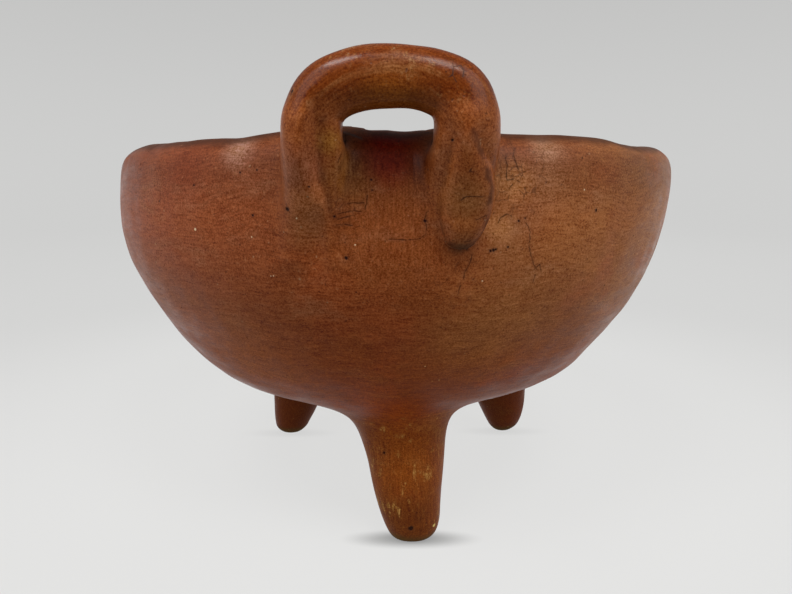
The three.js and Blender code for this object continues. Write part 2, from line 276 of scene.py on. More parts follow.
def leg(table, turn):
    """The leg alone, with its flat sole."""
    c, s = math.cos(turn), math.sin(turn)

    def f(p):
        z = p[:, 2]
        l, r, cy, hd = (np.interp(z, table[:, 0], table[:, i]) for i in (1, 2, 3, 4))
        cx, hw = (l + r) / 2, (r - l) / 2
        x, y = p[:, 0] - cx, p[:, 1] - cy
        u, v = x * c + y * s, -x * s + y * c
        side = oval((u, v), (hw, hd), 2.15) - 0.09 * leg_facets(p) - 0.1 * leg_lumps(p)
        return smax(side, 0.12 - z, 1.6)

    return f


def luted(core, base, k, depth=2.6, sink=0.02, skirt=1.0):
    """A piece luted onto base: core with its seam smeared out over base, and a thin skirt let into it."""

    def f(p):
        a, b = core(p), base(p)
        kk = k(p) if callable(k) else k
        under = sink + 0.35 * smoothstep(0.74, 0.98, a / kk)
        skin = smin(a, b + under, kk)
        return np.maximum(np.maximum(skin, -(b + depth)), a - skirt * kk)

    return f


def rear_k(p):
    """The seam of the leg under the tail is smeared furthest on its left."""
    return 23.0 + 4.5 * np.clip((3.0 - p[:, 0]) / 14.0, -1, 1)


# ------------------------------------------------------------------ the tail

# centre line X, Y, Z, half width in the loop's plane, half thickness out from the wall
ARCH = [
    [-21.9, -104.8, 115.0, 3.6, 1.0], [-22.3, -106.0, 119.5, 5.6, 2.4], [-22.5, -107.6, 124.5, 6.4, 4.0],
    [-22.4, -109.4, 129.0, 6.8, 5.3], [-22.0, -111.6, 133.5, 7.0, 6.1], [-21.5, -113.6, 138.0, 7.3, 6.6],
    [-20.9, -115.4, 142.6, 7.5, 6.95],
    [-20.55, -116.3, 147.2, 7.4, 7.2], [-19.75, -116.3, 150.5, 7.2, 7.2], [-18.0, -116.3, 153.3, 7.25, 7.2],
    [-15.4, -116.4, 155.4, 7.3, 7.2], [-12.0, -116.4, 156.95, 7.35, 7.2], [-7.0, -116.4, 158.2, 7.45, 7.2],
    [-1.0, -116.4, 158.4, 7.3, 7.2], [4.0, -116.4, 158.05, 7.15, 7.2], [9.0, -116.4, 157.1, 7.4, 7.2],
    [13.0, -116.4, 155.5, 7.7, 7.2], [15.8, -116.4, 152.7, 8.0, 7.2], [17.2, -116.2, 149.0, 8.1, 7.2],
    [17.5, -115.2, 144.6, 8.3, 6.9], [17.3, -113.2, 139.6, 8.4, 6.1], [17.2, -111.0, 134.4, 8.1, 5.0],
    [17.0, -109.0, 129.4, 7.0, 3.5], [16.8, -107.2, 125.4, 5.4, 2.1],
]
# the end of the coil, pressed flat over the right root and down the wall
TONGUE = [
    [15.9, -119.6, 151.4, 2.6, 2.6], [16.8, -120.8, 147.0, 2.8, 3.1], [17.1, -120.2, 143.8, 3.1, 3.4],
    [17.6, -118.2, 139.4, 4.5, 3.8], [18.3, -116.2, 135.8, 5.7, 4.1], [18.5, -114.3, 132.3, 6.6, 4.3],
    [18.2, -112.7, 129.0, 6.9, 4.2], [17.9, -111.5, 125.8, 6.6, 4.0], [17.5, -110.7, 122.8, 5.9, 3.8],
    [17.2, -110.1, 120.7, 5.2, 3.5], [17.0, -109.7, 119.4, 4.5, 3.3],
]
tail_lumps = waves(31, 22, 14, 34)
tail_facets = waves(32, 26, 5, 11, flat=1.6)


def coil(rows, per, n=2.25):
    """A rolled coil of clay along a centre line, with an oval section."""
    line = catmull(rows, per)
    a, b = line[:-1], line[1:]
    e = (b - a)[:, :3]
    ee = (e * e).sum(1)
    ae = (a[:, :3] * e).sum(1)
    aa = (a[:, :3] ** 2).sum(1)

    def f(p):
        out = np.empty(len(p))
        for s in range(0, len(p), 60000):
            q = p[s:s + 60000]
            qe = q @ e.T - ae                                    # along each stretch
            t = np.clip(qe / ee, 0, 1)
            d2 = (q * q).sum(1)[:, None] - 2 * (q @ a[:, :3].T) + aa - 2 * t * qe + t * t * ee
            i = d2.argmin(1)
            j = np.arange(len(q))
            t = t[j, i]
            d = q - a[i, :3] - t[:, None] * e[i]
            half = a[i, 3] + (b[i, 3] - a[i, 3]) * t
            thick = a[i, 4] + (b[i, 4] - a[i, 4]) * t
            tang = e[i] / np.sqrt(ee[i])[:, None]
            across = np.stack([tang[:, 2], np.zeros(len(q)), -tang[:, 0]], 1)
            across /= np.linalg.norm(across, axis=1)[:, None] + 1e-9
            outw = np.cross(across, tang)
            along = (d * tang).sum(1)
            u, v = (d * across).sum(1), (d * outw).sum(1)
            out[s:s + 60000] = oval((u, v, along), (half, thick, np.minimum(half, thick)), n)
        return out

    return f


arch_coil = coil(ARCH, 4)
tongue_coil = coil(TONGUE, 4, 2.1)
TONGUE_MID = catmull(TONGUE, 5)[::-1]


def tail_k(p):
    """How far the arch's roots are smeared over the wall."""
    x, z = p[:, 0], p[:, 2]
    low = smoothstep(150, 140, z)
    outer_left = smoothstep(-20, -26, x) * low
    inner_left = smoothstep(-23, -17, x) * smoothstep(-2, -8, x)
    foot_left = smoothstep(-24, -19, x) * smoothstep(140, 133, z) * smoothstep(-2, -8, x)
    right = smoothstep(8, 14, x) * low
    inner_right = smoothstep(2, 6, x) * smoothstep(18, 12, x)
    inner = inner_left * (3.0 * smoothstep(152, 147, z) + 6.4 * smoothstep(147, 141, z))
    inner = inner + inner_right * (1.6 * smoothstep(151, 147, z) + 5.6 * smoothstep(146, 140, z))
    return 2.6 + 8.0 * outer_left + inner - 1.5 * foot_left + 1.4 * right


def tail(p):
    lumps = 0.10 * tail_lumps(p) + 0.045 * tail_facets(p)
    arch, tongue, wall = arch_coil(p) - lumps, tongue_coil(p) - lumps, bowl(p)
    near = np.minimum(arch, tongue)
    k = tail_k(p)
    under = 0.02 + 0.35 * smoothstep(0.74, 0.98, near / np.maximum(k, 4.0))
    # the left root: a ridge in front, and beside the opening a lower strip pressed back
    z = p[:, 2]
    xc = np.interp(z, [118, 124.5, 129, 133.5, 138, 160], [-15.4, -16.6, -17.8, -18.9, -19.2, -19.0])
    yw = np.interp(z, [117, 120.5, 124.5, 129, 133.5, 138, 142.6, 147, 150, 153, 157],
                   [-109.8, -110.6, -112.0, -113.6, -115.3, -117.2, -119.0, -120.5, -121.8, -123.4, -126.0])
    ahead = yw - 7.0 * smoothstep(-14, -5, p[:, 0]) - p[:, 1]
    step = smin((p[:, 0] - xc + 1.0 * ahead) / 1.41, ahead, 0.8)
    step = np.where(p[:, 0] > 2, -9.0, step)
    body = smin(arch, wall + under, k)
    body = smax(body, np.minimum(step, wall + 1.2), 2.4)
    mid = np.interp(p[:, 2], TONGUE_MID[:, 2], TONGUE_MID[:, 0])
    # the tongue's right edge and end stay crisp, its left edge and top are rubbed away
    kt = 0.8 + 0.9 * smoothstep(0.5, -4.0, p[:, 0] - mid) * smoothstep(119, 127, z) + 5.0 * smoothstep(143, 150, z)
    skin = smin(body, tongue, kt)
    return np.maximum(np.maximum(skin, -(wall + 2.6)), near - 10.0)


# ------------------------------------------------------------------ the head (not seen in the photograph)

def ball(c, r, turn=0.0):
    c, r = np.array(c, float), np.array(r, float)
    cs, sn = math.cos(turn), math.sin(turn)

    def f(p):
        q = p - c
        y, z = q[:, 1] * cs + q[:, 2] * sn, -q[:, 1] * sn + q[:, 2] * cs
        return oval((q[:, 0], y, z), r, 2.0)

    return f


skull = ball([0, 110.5, 120.6], [28.0, 29.0, 23.6], -0.10)
cheek_l = ball([-13.5, 119.0, 112.0], [12.5, 13.5, 11.5])
cheek_r = ball([13.5, 119.0, 112.0], [12.5, 13.5, 11.5])
brow_l = ball([-12.0, 126.5, 132.4], [7.0, 6.5, 4.0], 0.2)
brow_r = ball([12.0, 126.5, 132.4], [7.0, 6.5, 4.0], 0.2)
muzzle = ball([0, 128.0, 114.5], [17.5, 15.0, 15.5], -0.17)
head_lumps = waves(41, 22, 10, 30)
SNOUT_AXIS = np.array([0, 0.985, -0.17]) / math.hypot(0.985, 0.17)
SNOUT_BASE = np.array([0, 128.5, 116.0])
SNOUT_UP = np.cross(np.array([1.0, 0, 0]), SNOUT_AXIS)


def mouth(p):
    """A slit that runs round under the snout, corners turned up a little."""
    q = p - np.array([0, 121.5, 103.8])
    z = q[:, 2] - 0.012 * q[:, 0] ** 2
    ring = np.hypot(np.hypot(q[:, 0] * 0.95, q[:, 1]) - 19.5, z * 1.0)
    front = q[:, 1] - 3.0
    return np.maximum(ring - 1.25, 4.0 - front)


def head_core(p):
    d = smin(skull(p), np.minimum(cheek_l(p), cheek_r(p)), 9.0)
    d = smin(d, muzzle(p), 9.0)
    d = smin(d, np.minimum(brow_l(p), brow_r(p)), 5.0)
    d = d - 0.22 * head_lumps(p)
    return smax(d, -mouth(p), 1.4)


def head_k(p):
    """The head's seam is smeared widely down the wall, and runs out to nothing at the crest of the lip."""
    return 0.6 + 7.4 * smoothstep(101.0, 108.5, pot_rz(p)[0])


def head_and_wall(p):
    return smin(head_core(p), bowl(p), head_k(p))


def snout_core(p):
    q = p - SNOUT_BASE
    h = q @ SNOUT_AXIS
    v = q @ SNOUT_UP
    r = np.hypot(q[:, 0], v * 1.04)
    wide = np.interp(h, [-5, 0, 5, 11, 18, 22], [17.0, 16.4, 15.4, 14.6, 14.9, 15.1])
    side = r - wide
    face = h - 21.8 + 1.1 * smoothstep(12.5, 7.0, r)
    d = smax(side, face, 3.0)
    for s in (-1, 1):
        nr = np.hypot((q[:, 0] - s * 5.6) / 0.86, v - 0.4)
        d = smax(d, -np.maximum(nr - 2.9, 15.8 - h), 1.6)
    return d - 0.16 * head_lumps(p)


def ear_core(side):
    up = np.array([side * 0.46, 0.34, 0.82])
    up /= np.linalg.norm(up)
    across = np.array([side * 0.86, -0.20, -0.40])
    across -= up * (across @ up)
    across /= np.linalg.norm(across)
    front = np.cross(across, up) * side
    start = np.array([side * 17.0, 109.0, 136.5]) - 6.0 * up
    outline = catmull([[0, 0.72], [0.2, 0.92], [0.4, 1.0], [0.58, 0.92], [0.75, 0.68], [0.89, 0.40], [0.97, 0.20], [1.03, 0.02]], 6)

    def f(p):
        q = p - start
        t = (q @ up) / 26.5
        w = 9.6 * np.interp(t, outline[:, 0], outline[:, 1])
        u, v = q @ across, q @ front
        curl = 2.6 * (u / 9.6) ** 2                       # edges curl towards the front
        dish = 1.5 * np.exp(-(u / 5.0) ** 2) * smoothstep(0.98, 0.5, t) * smoothstep(0.0, 0.3, t)
        body = np.abs(v - curl * -1.0 + dish * 0.5 - 0.4) - (1.1 + 1.5 * np.clip(w / 9.6, 0, 1)) + dish * 0.5
        edge = np.abs(u) - np.maximum(w, 0.2)
        d = smax(body, edge * 0.8, 2.4)
        return smax(d, (t - 1.0) * 26.5, 2.0) - 0.08 * head_lumps(p)

    return f


def eye_core(side):
    c = np.array([side * 13.4, 131.4, 129.6])
    out = np.array([side * 0.42, 0.78, 0.46])
    out /= np.linalg.norm(out)

    def f(p):
        q = p - c
        h = q @ out
        r = np.sqrt(np.maximum((q * q).sum(1) - h * h, 0))
        d = np.sqrt((r / 3.9) ** 2 + (h / 3.1) ** 2)
        pellet = (d - 1) * 3.1
        prick = np.maximum(r - 0.85, 1.6 - h)
        return smax(pellet, -prick, 0.8)

    return f


def base_for_eyes(p):
    return head_and_wall(p)


# ------------------------------------------------------------------ from field to mesh

CORNERS = [(0, 0, 0), (1, 0, 0), (0, 1, 0), (1, 1, 0), (0, 0, 1), (1, 0, 1), (0, 1, 1), (1, 1, 1)]
EDGES = [(0, 1), (2, 3), (4, 5), (6, 7), (0, 2), (1, 3), (4, 6), (5, 7), (0, 4), (1, 5), (2, 6), (3, 7)]


def gradient(f, p, e=0.06):
    """Value and slope of f from four samples round each point."""
    g = np.zeros_like(p)
    mean = np.zeros(len(p))
    for k in ((1, -1, -1), (-1, -1, 1), (-1, 1, -1), (1, 1, 1)):
        k = np.array(k, float)
        v = f(p + e * k)
        g += v[:, None] * k
        mean += v
    return mean / 4, g / (4 * e)


def settle(f, p, h, times):
    """Moves points onto the surface f = 0."""
    for _ in range(times):
        v, g = gradient(f, p)
        n2 = np.maximum((g * g).sum(1), 0.05)
        step = -(v / n2)[:, None] * g
        size = np.linalg.norm(step, axis=1)
        step *= np.minimum(1.0, 0.5 * h / np.maximum(size, 1e-9))[:, None]
        p = p + step
    return p


def relax(p, quads, amount):
    n = len(p)
    acc = np.zeros((n, 3))
    cnt = np.zeros(n)
    for a, b in ((0, 1), (1, 2), (2, 3), (3, 0)):
        i, j = quads[:, a], quads[:, b]
        for k in range(3):
            acc[:, k] += np.bincount(i, p[j, k], n) + np.bincount(j, p[i, k], n)
        cnt += np.bincount(i, minlength=n) + np.bincount(j, minlength=n)
    return p + amount * (acc / cnt[:, None] - p)


def net(f, lo, hi, h, rounds=2):
    """A closed quad mesh of the surface f = 0 in the box lo..hi, with cells of h."""
    lo, hi = np.array(lo, float), np.array(hi, float)
    c = 4                                                # coarse cells of c * h first
    nc = np.ceil((hi - lo) / (h * c)).astype(int) + 1
    n = (nc - 1) * c + 1
    idx = np.stack(np.meshgrid(*(np.arange(k) for k in nc), indexing="ij"), -1).reshape(-1, 3)
    C = f(lo + idx * (h * c)).reshape(nc)
    near = np.abs(C) < 2.3 * c * h
    cells = np.zeros(nc - 1, bool)
    for a, b, d in CORNERS:
        cells |= near[a:nc[0] - 1 + a, b:nc[1] - 1 + b, d:nc[2] - 1 + d]
    F = np.repeat(np.repeat(np.repeat(np.sign(C), c, 0), c, 1), c, 2)[:n[0], :n[1], :n[2]] * 9.0
    fine = np.zeros(n, bool)
    for a in range(c + 1):
        for b in range(c + 1):
            for d in range(c + 1):
                fine[a:a + (nc[0] - 1) * c:c, b:b + (nc[1] - 1) * c:c, d:d + (nc[2] - 1) * c:c] |= cells
    at = np.argwhere(fine)
    for s in range(0, len(at), 250000):
        q = at[s:s + 250000]
        F[q[:, 0], q[:, 1], q[:, 2]] = f(lo + q * h)
    F[F == 0] = 1e-9
    inside = F < 0
    m = n - 1
    cut = [slice(0, -1), slice(1, None)]
    total = sum(inside[cut[a], cut[b], cut[c]].astype(np.int8) for a, b, c in CORNERS)
    active = (total > 0) & (total < 8)
    cells = np.argwhere(active)
    number = np.full(m, -1, int)
    number[active] = np.arange(len(cells))
    vals = [F[cells[:, 0] + a, cells[:, 1] + b, cells[:, 2] + c] for a, b, c in CORNERS]
    acc, cnt = np.zeros((len(cells), 3)), np.zeros(len(cells))
    for a, b in EDGES:
        va, vb = vals[a], vals[b]
        on = (va < 0) != (vb < 0)
        t = np.where(on, va / np.where(on, va - vb, 1), 0)
        ca, cb = np.array(CORNERS[a], float), np.array(CORNERS[b], float)
        acc[on] += (ca + (cb - ca) * t[:, None])[on]
        cnt += on
    p = lo + h * (cells + acc / cnt[:, None])
    quads = []
    for axis in range(3):
        o1, o2 = (axis + 1) % 3, (axis + 2) % 3
        sl0 = [slice(None)] * 3
        sl1 = [slice(None)] * 3
        sl0[axis], sl1[axis] = slice(0, -1), slice(1, None)
        a, b = inside[tuple(sl0)], inside[tuple(sl1)]
        e = np.argwhere(a != b)
        e = e[(e[:, o1] > 0) & (e[:, o1] < m[o1]) & (e[:, o2] > 0) & (e[:, o2] < m[o2])]
        ring = []
        for d1, d2 in ((-1, -1), (0, -1), (0, 0), (-1, 0)):
            c = e.copy()
            c[:, o1] += d1
            c[:, o2] += d2
            ring.append(number[c[:, 0], c[:, 1], c[:, 2]])
        q = np.stack(ring, 1)
        flip = ~a[e[:, 0], e[:, 1], e[:, 2]]
        q[flip] = q[flip][:, ::-1]
        quads.append(q)
    quads = np.vstack(quads)
    for i in range(rounds):
        p = settle(f, relax(p, quads, 0.55), h, 2)
    return settle(f, p, h, 1), quads


def only_largest(p, quads):
    """Leaves out loose crumbs."""
    n = len(p)
    label = np.arange(n)
    while True:
        low = label.copy()
        for a, b in ((0, 1), (1, 2), (2, 3), (3, 0)):
            np.minimum.at(low, quads[:, a], label[quads[:, b]])
            np.minimum.at(low, quads[:, b], label[quads[:, a]])
        low = low[low]
        if (low == label).all():
            break
        label = low
    ids, count = np.unique(label, return_counts=True)
    keep = label == ids[count.argmax()]
    new = np.cumsum(keep) - 1
    quads = new[quads[keep[quads[:, 0]]]]
    return p[keep], quads


def piece(name, p, faces, node, normals=None):
    mesh = bpy.data.meshes.new(name)
    pts = (p + SHIFT) / 1000.0
    mesh.from_pydata(pts.tolist(), [], [list(map(int, q)) for q in faces])
    mesh.polygons.foreach_set("use_smooth", [True] * len(mesh.polygons))
    mesh.update()
    if normals is not None:
        mesh.normals_split_custom_set_from_vertices(normals.tolist())
    ob = bpy.data.objects.new(name, mesh)
    bpy.context.scene.collection.objects.link(ob)
    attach(ob, "root")
    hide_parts(node)
    return ob


def built(name, f, lo, hi, h, node, rounds=2):
    p, q = net(f, lo, hi, h, rounds)
    p, q = only_largest(p, q)
    g = gradient(f, p, 0.12)[1]
    g /= np.linalg.norm(g, axis=1)[:, None] + 1e-12
    ob = piece(name, p, q, node, g)
    print("PIECE", name, len(p), "vertices", len(q), "quads")
    return ob


# ------------------------------------------------------------------ the bowl's own mesh, ring by ring

def bowl_mesh():
    seg = np.linalg.norm(np.diff(outer_line, axis=0), axis=1)
    s = np.r_[0, np.cumsum(seg)]
    crest = s[len(BOWL_OUTER) * 6]
    # closer rings over the lip
    marks = [0.0]
    while marks[-1] < s[-1] - 0.6:
        d = abs(marks[-1] - crest)
        outside = marks[-1] < crest
        marks.append(marks[-1] + (0.8 if d < 10 else 1.35 if outside else 2.2))
    marks = np.array(marks)
    marks *= s[-1] / marks[-1]
    r = np.interp(marks, s, outer_line[:, 0])
    z = np.interp(marks, s, outer_line[:, 1])
    n = 384
    ang = np.arange(n) / n * 2 * np.pi
    rings = []
    for i in range(1, len(r) - 1):
        rings.append(np.stack([r[i] * np.sin(ang), -r[i] * np.cos(ang), np.full(n, z[i])], 1))
    p = np.vstack([[[0, 0, z[0]]], *rings, [[0, 0, z[-1]]]])
    p[:, 0] += np.polyval(LEAN, np.clip(p[:, 2], 39, 147))
    p = settle(bowl, p, 1.2, 3)
    nr = len(rings)
    i = np.arange(n)
    j = (i + 1) % n
    faces = [[0, int(1 + b), int(1 + a)] for a, b in zip(i, j)]
    for k in range(nr - 1):
        a, b = 1 + k * n, 1 + (k + 1) * n
        faces += np.stack([a + i, a + j, b + j, b + i], 1).tolist()
    last = len(p) - 1
    a = 1 + (nr - 1) * n
    faces += [[last, int(a + x), int(a + y)] for x, y in zip(i, j)]
    g = gradient(bowl, p, 0.12)[1]
    g /= np.linalg.norm(g, axis=1)[:, None] + 1e-12
    g[0], g[-1] = (0, 0, -1), (0, 0, 1)
    print("PIECE bowl", len(p), "vertices", len(faces), "faces")
    return piece("bowl", p, faces, "bowl_shell", g)


ob_bowl = bowl_mesh()
rear = luted(leg(LEG_REAR, 0.0), bowl_filled, rear_k)
ob_rear = built("leg_under_tail", rear, (-46, -94, -2), (40, -20, 74), 0.95, "leg_rear")
left = luted(leg(LEG_LEFT, 0.0), bowl_filled, 10.5)
ob_left = built("leg_at_left", left, (-80, 10, -2), (-20, 60, 68), 0.95, "leg_front_left")
right = luted(leg(LEG_RIGHT, 0.0), bowl_filled, 11.5)
ob_right = built("leg_at_right", right, (20, 10, -2), (84, 62, 68), 0.95, "leg_front_right")
ob_tail = built("tail", tail, (-43, -127, 104), (41, -92, 169), 0.75, "tail_loop")
head_luted = luted(head_core, bowl_filled, head_k)


def head(p):
    """The head stays outside the crest of the lip, so that nothing of it hangs over the hollow."""
    return np.maximum(head_luted(p), 101.2 - pot_rz(p)[0])


ob_head = built("head", head, (-38, 92, 86), (38, 150, 152), 0.85, "head_boss")
snout = luted(snout_core, head_and_wall, 4.5, depth=2.0)
ob_snout = built("snout_drum", snout, (-24, 122, 92), (24, 156, 138), 0.7, "snout")
ears = []
for side, word in ((-1, "left"), (1, "right")):
    e = luted(ear_core(side), head_and_wall, 3.5, depth=1.8)
    lo = (-36, 94, 124) if side < 0 else (4, 94, 124)
    hi = (-4, 128, 158) if side < 0 else (36, 128, 158)
    ears.append(built("ear_at_" + word, e, lo, hi, 0.6, "ear_" + word))
eyes = []
for side, word in ((-1, "left"), (1, "right")):
    e = luted(eye_core(side), base_for_eyes, 1.2, depth=1.5)
    lo = (-19, 124, 123) if side < 0 else (7, 124, 123)
    hi = (-7, 137, 137) if side < 0 else (19, 137, 137)
    eyes.append(built("eye_at_" + word, e, lo, hi, 0.42, "eye_" + word))

PIECES = [ob_bowl, ob_rear, ob_left, ob_right, ob_tail, ob_head, ob_snout, *ears, *eyes]

# ------------------------------------------------------------------ material

# Cracks in the burnish, as rows of points on the surface (mm)
CRACKS = [
    [[30.6, -102.4, 144.2], [31.2, -104.4, 141.8], [31.6, -105.3, 139.1], [32.5, -105.3, 136.8]],
    [[29.9, -103.6, 143.3], [31.0, -104.3, 142.0]],
    [[28.8, -106.0, 139.8], [29.5, -106.1, 137.8], [29.2, -106.4, 135.5], [29.5, -106.4, 133.9], [31.7, -105.7, 134.2], [33.2, -105.3, 133.4]],
    [[28.8, -106.6, 130.3], [30.4, -106.1, 132.1], [31.2, -105.9, 132.9]],
    [[27.2, -106.7, 122.0], [28.2, -106.5, 124.2], [29.9, -106.0, 124.9], [31.3, -105.6, 124.4]],
    [[35.5, -104.1, 122.6], [36.9, -103.4, 119.9], [36.9, -103.1, 116.2], [37.7, -102.2, 113.1], [38.9, -101.3, 110.7], [40.0, -100.4, 108.8]],
    [[39.1, -100.8, 108.9], [40.8, -100.5, 110.5], [41.3, -99.8, 108.4]],
    [[39.6, -100.3, 107.3], [39.2, -99.8, 105.2]],
    [[20.6, -107.4, 114.0], [19.9, -107.0, 111.2], [18.8, -106.9, 109.3], [18.7, -106.5, 107.3]],
    [[17.6, -106.3, 105.6], [17.2, -105.5, 102.6]],
    [[8.1, -110.7, 125.7], [7.3, -110.4, 123.7], [8.0, -110.2, 121.8], [7.7, -110.0, 119.9], [6.4, -109.9, 118.6], [2.4, -110.1, 118.4], [-1.6, -110.2, 118.5]],
    [[16.2, -117.0, 129.1], [17.6, -117.7, 129.9], [20.1, -117.8, 130.1], [21.9, -117.2, 129.8]],
    [[20.4, -115.0, 124.0], [23.0, -114.4, 125.0], [26.2, -107.1, 125.3]],
    [[18.7, -121.3, 137.6], [17.8, -120.8, 136.2], [19.6, -120.2, 135.5]],
    [[14.6, -112.6, 118.6], [16.9, -113.0, 118.3], [19.3, -112.7, 118.4]],
    [[-13.5, -104.6, 147.3], [-12.9, -109.5, 143.4], [-13.6, -116.6, 140.1], [-14.1, -116.8, 138.8], [-14.2, -115.7, 136.9]],
    [[-7.4, -110.3, 130.1], [-7.7, -110.3, 128.1], [-8.1, -110.2, 126.5]],
    [[-13.3, -110.8, 127.6], [-10.4, -110.3, 128.2], [-8.4, -110.3, 128.2]],
    [[-15.1, -111.2, 125.3], [-11.0, -110.3, 126.2], [-9.2, -110.2, 126.0]],
    [[-15.7, -110.7, 122.6], [-13.9, -110.3, 122.5], [-11.5, -110.1, 122.2]],
    [[-15.2, -110.9, 123.9], [-12.8, -110.4, 124.6], [-11.6, -110.2, 124.2]],
    [[12.9, -122.1, 161.0], [13.3, -122.8, 159.5], [13.1, -123.3, 157.9], [13.8, -123.5, 156.2]],
    [[13.3, -122.8, 159.5], [14.8, -122.2, 160.1], [15.7, -122.6, 158.9], [15.4, -123.2, 157.3]],
    [[13.1, -123.3, 157.9], [11.9, -123.5, 157.3]],
]
# Seams where the tail's clay meets the wall's, drawn dark as grime and as painted shade in the creases
SEAMS = [
    [[14.0, -122.3, 144.2], [13.4, -120.8, 141.8], [12.8, -118.4, 138.0], [12.5, -116.7, 135.0], [11.6, -114.8, 131.7],
     [11.2, -113.4, 128.6], [11.4, -112.2, 125.3], [11.8, -111.2, 122.2], [12.8, -111.4, 119.3], [14.4, -111.7, 117.2],
     [16.4, -111.5, 116.4], [18.4, -111.9, 116.7], [20.5, -111.4, 117.8], [22.5, -110.5, 119.6], [23.3, -112.2, 121.9],
     [23.7, -114.0, 125.2], [23.8, -115.8, 129.0], [23.8, -117.0, 132.3], [22.4, -119.0, 135.8], [20.9, -120.8, 139.4],
     [19.5, -122.3, 142.4], [18.0, -123.7, 145.0]],
    [[-17.3, -121.1, 148.4], [-18.1, -119.6, 144.4], [-18.9, -117.6, 139.0], [-18.8, -116.3, 135.7], [-17.5, -114.4, 131.3],
     [-17.1, -113.0, 128.0], [-16.4, -111.4, 124.5]],
    [[-13.2, -106.5, 146.2], [-13.1, -110.0, 143.3], [-13.8, -113.5, 140.5], [-14.2, -115.0, 136.9]],
]
# Pits where grit burst out: X, Y, Z, radius (mm)
PITS = [
    [-28.1, -112.0, 126.5, 0.6], [-71.9, -84.8, 127.5, 0.33], [-13.4, -109.1, 113.4, 0.43], [-57.6, -94.8, 132.4, 0.31], [-42.4, -102.1, 136.0, 0.27],
    [-21.6, -117.4, 132.3, 0.22], [-39.0, -104.0, 124.3, 0.27], [58.0, -93.5, 125.2, 0.41], [33.4, -104.8, 123.0, 0.3], [35.2, -104.3, 123.7, 0.22],
    [40.9, -102.5, 133.2, 0.22], [30.7, -105.1, 115.8, 0.25], [19.1, -107.9, 115.7, 0.32], [-4.3, -68.5, 37.1, 0.43], [5.5, -70.3, 8.3, 0.81],
    [-16.0, -111.3, 124.6, 0.29], [13.5, -121.6, 143.4, 0.28], [-6.5, -110.4, 134.0, 0.26], [-6.2, -110.4, 131.4, 0.21], [25.7, -106.3, 115.0, 0.35],
    [26.6, -106.1, 115.2, 0.41], [27.3, -106.0, 115.4, 0.27], [7.6, -110.4, 123.4, 0.39], [65.6, -82.8, 101.1, 0.25], [-37.3, -104.1, 136.5, 0.24],
    [52.0, -96.8, 139.9, 0.22], [-24.4, -120.9, 154.5, 0.38], [11.5, -123.4, 158.4, 0.23], [5.3, -70.2, 8.0, 0.95], [46.0, 88.0, 96.0, 0.5],
    [-60.0, 78.0, 84.0, 0.4], [88.0, 30.0, 118.0, 0.45], [-96.0, 22.0, 104.0, 0.4],
]
# Pale flecks of grit
FLECKS = [
    [-34.0, -104.0, 107.7, 0.25], [-58.2, -94.6, 119.9, 0.46], [8.8, -94.0, 77.9, 0.27], [13.5, -89.1, 72.0, 0.28], [24.0, -105.0, 106.4, 0.25],
    [53.1, -96.7, 131.1, 0.28], [-34.9, -103.7, 107.6, 0.2], [14.2, -67.1, 7.4, 0.75], [-25.9, -112.1, 124.3, 0.26], [-39.7, -103.6, 118.5, 0.22],
    [-10.9, -109.8, 117.0, 0.21], [24.0, -105.0, 106.4, 0.27],
]


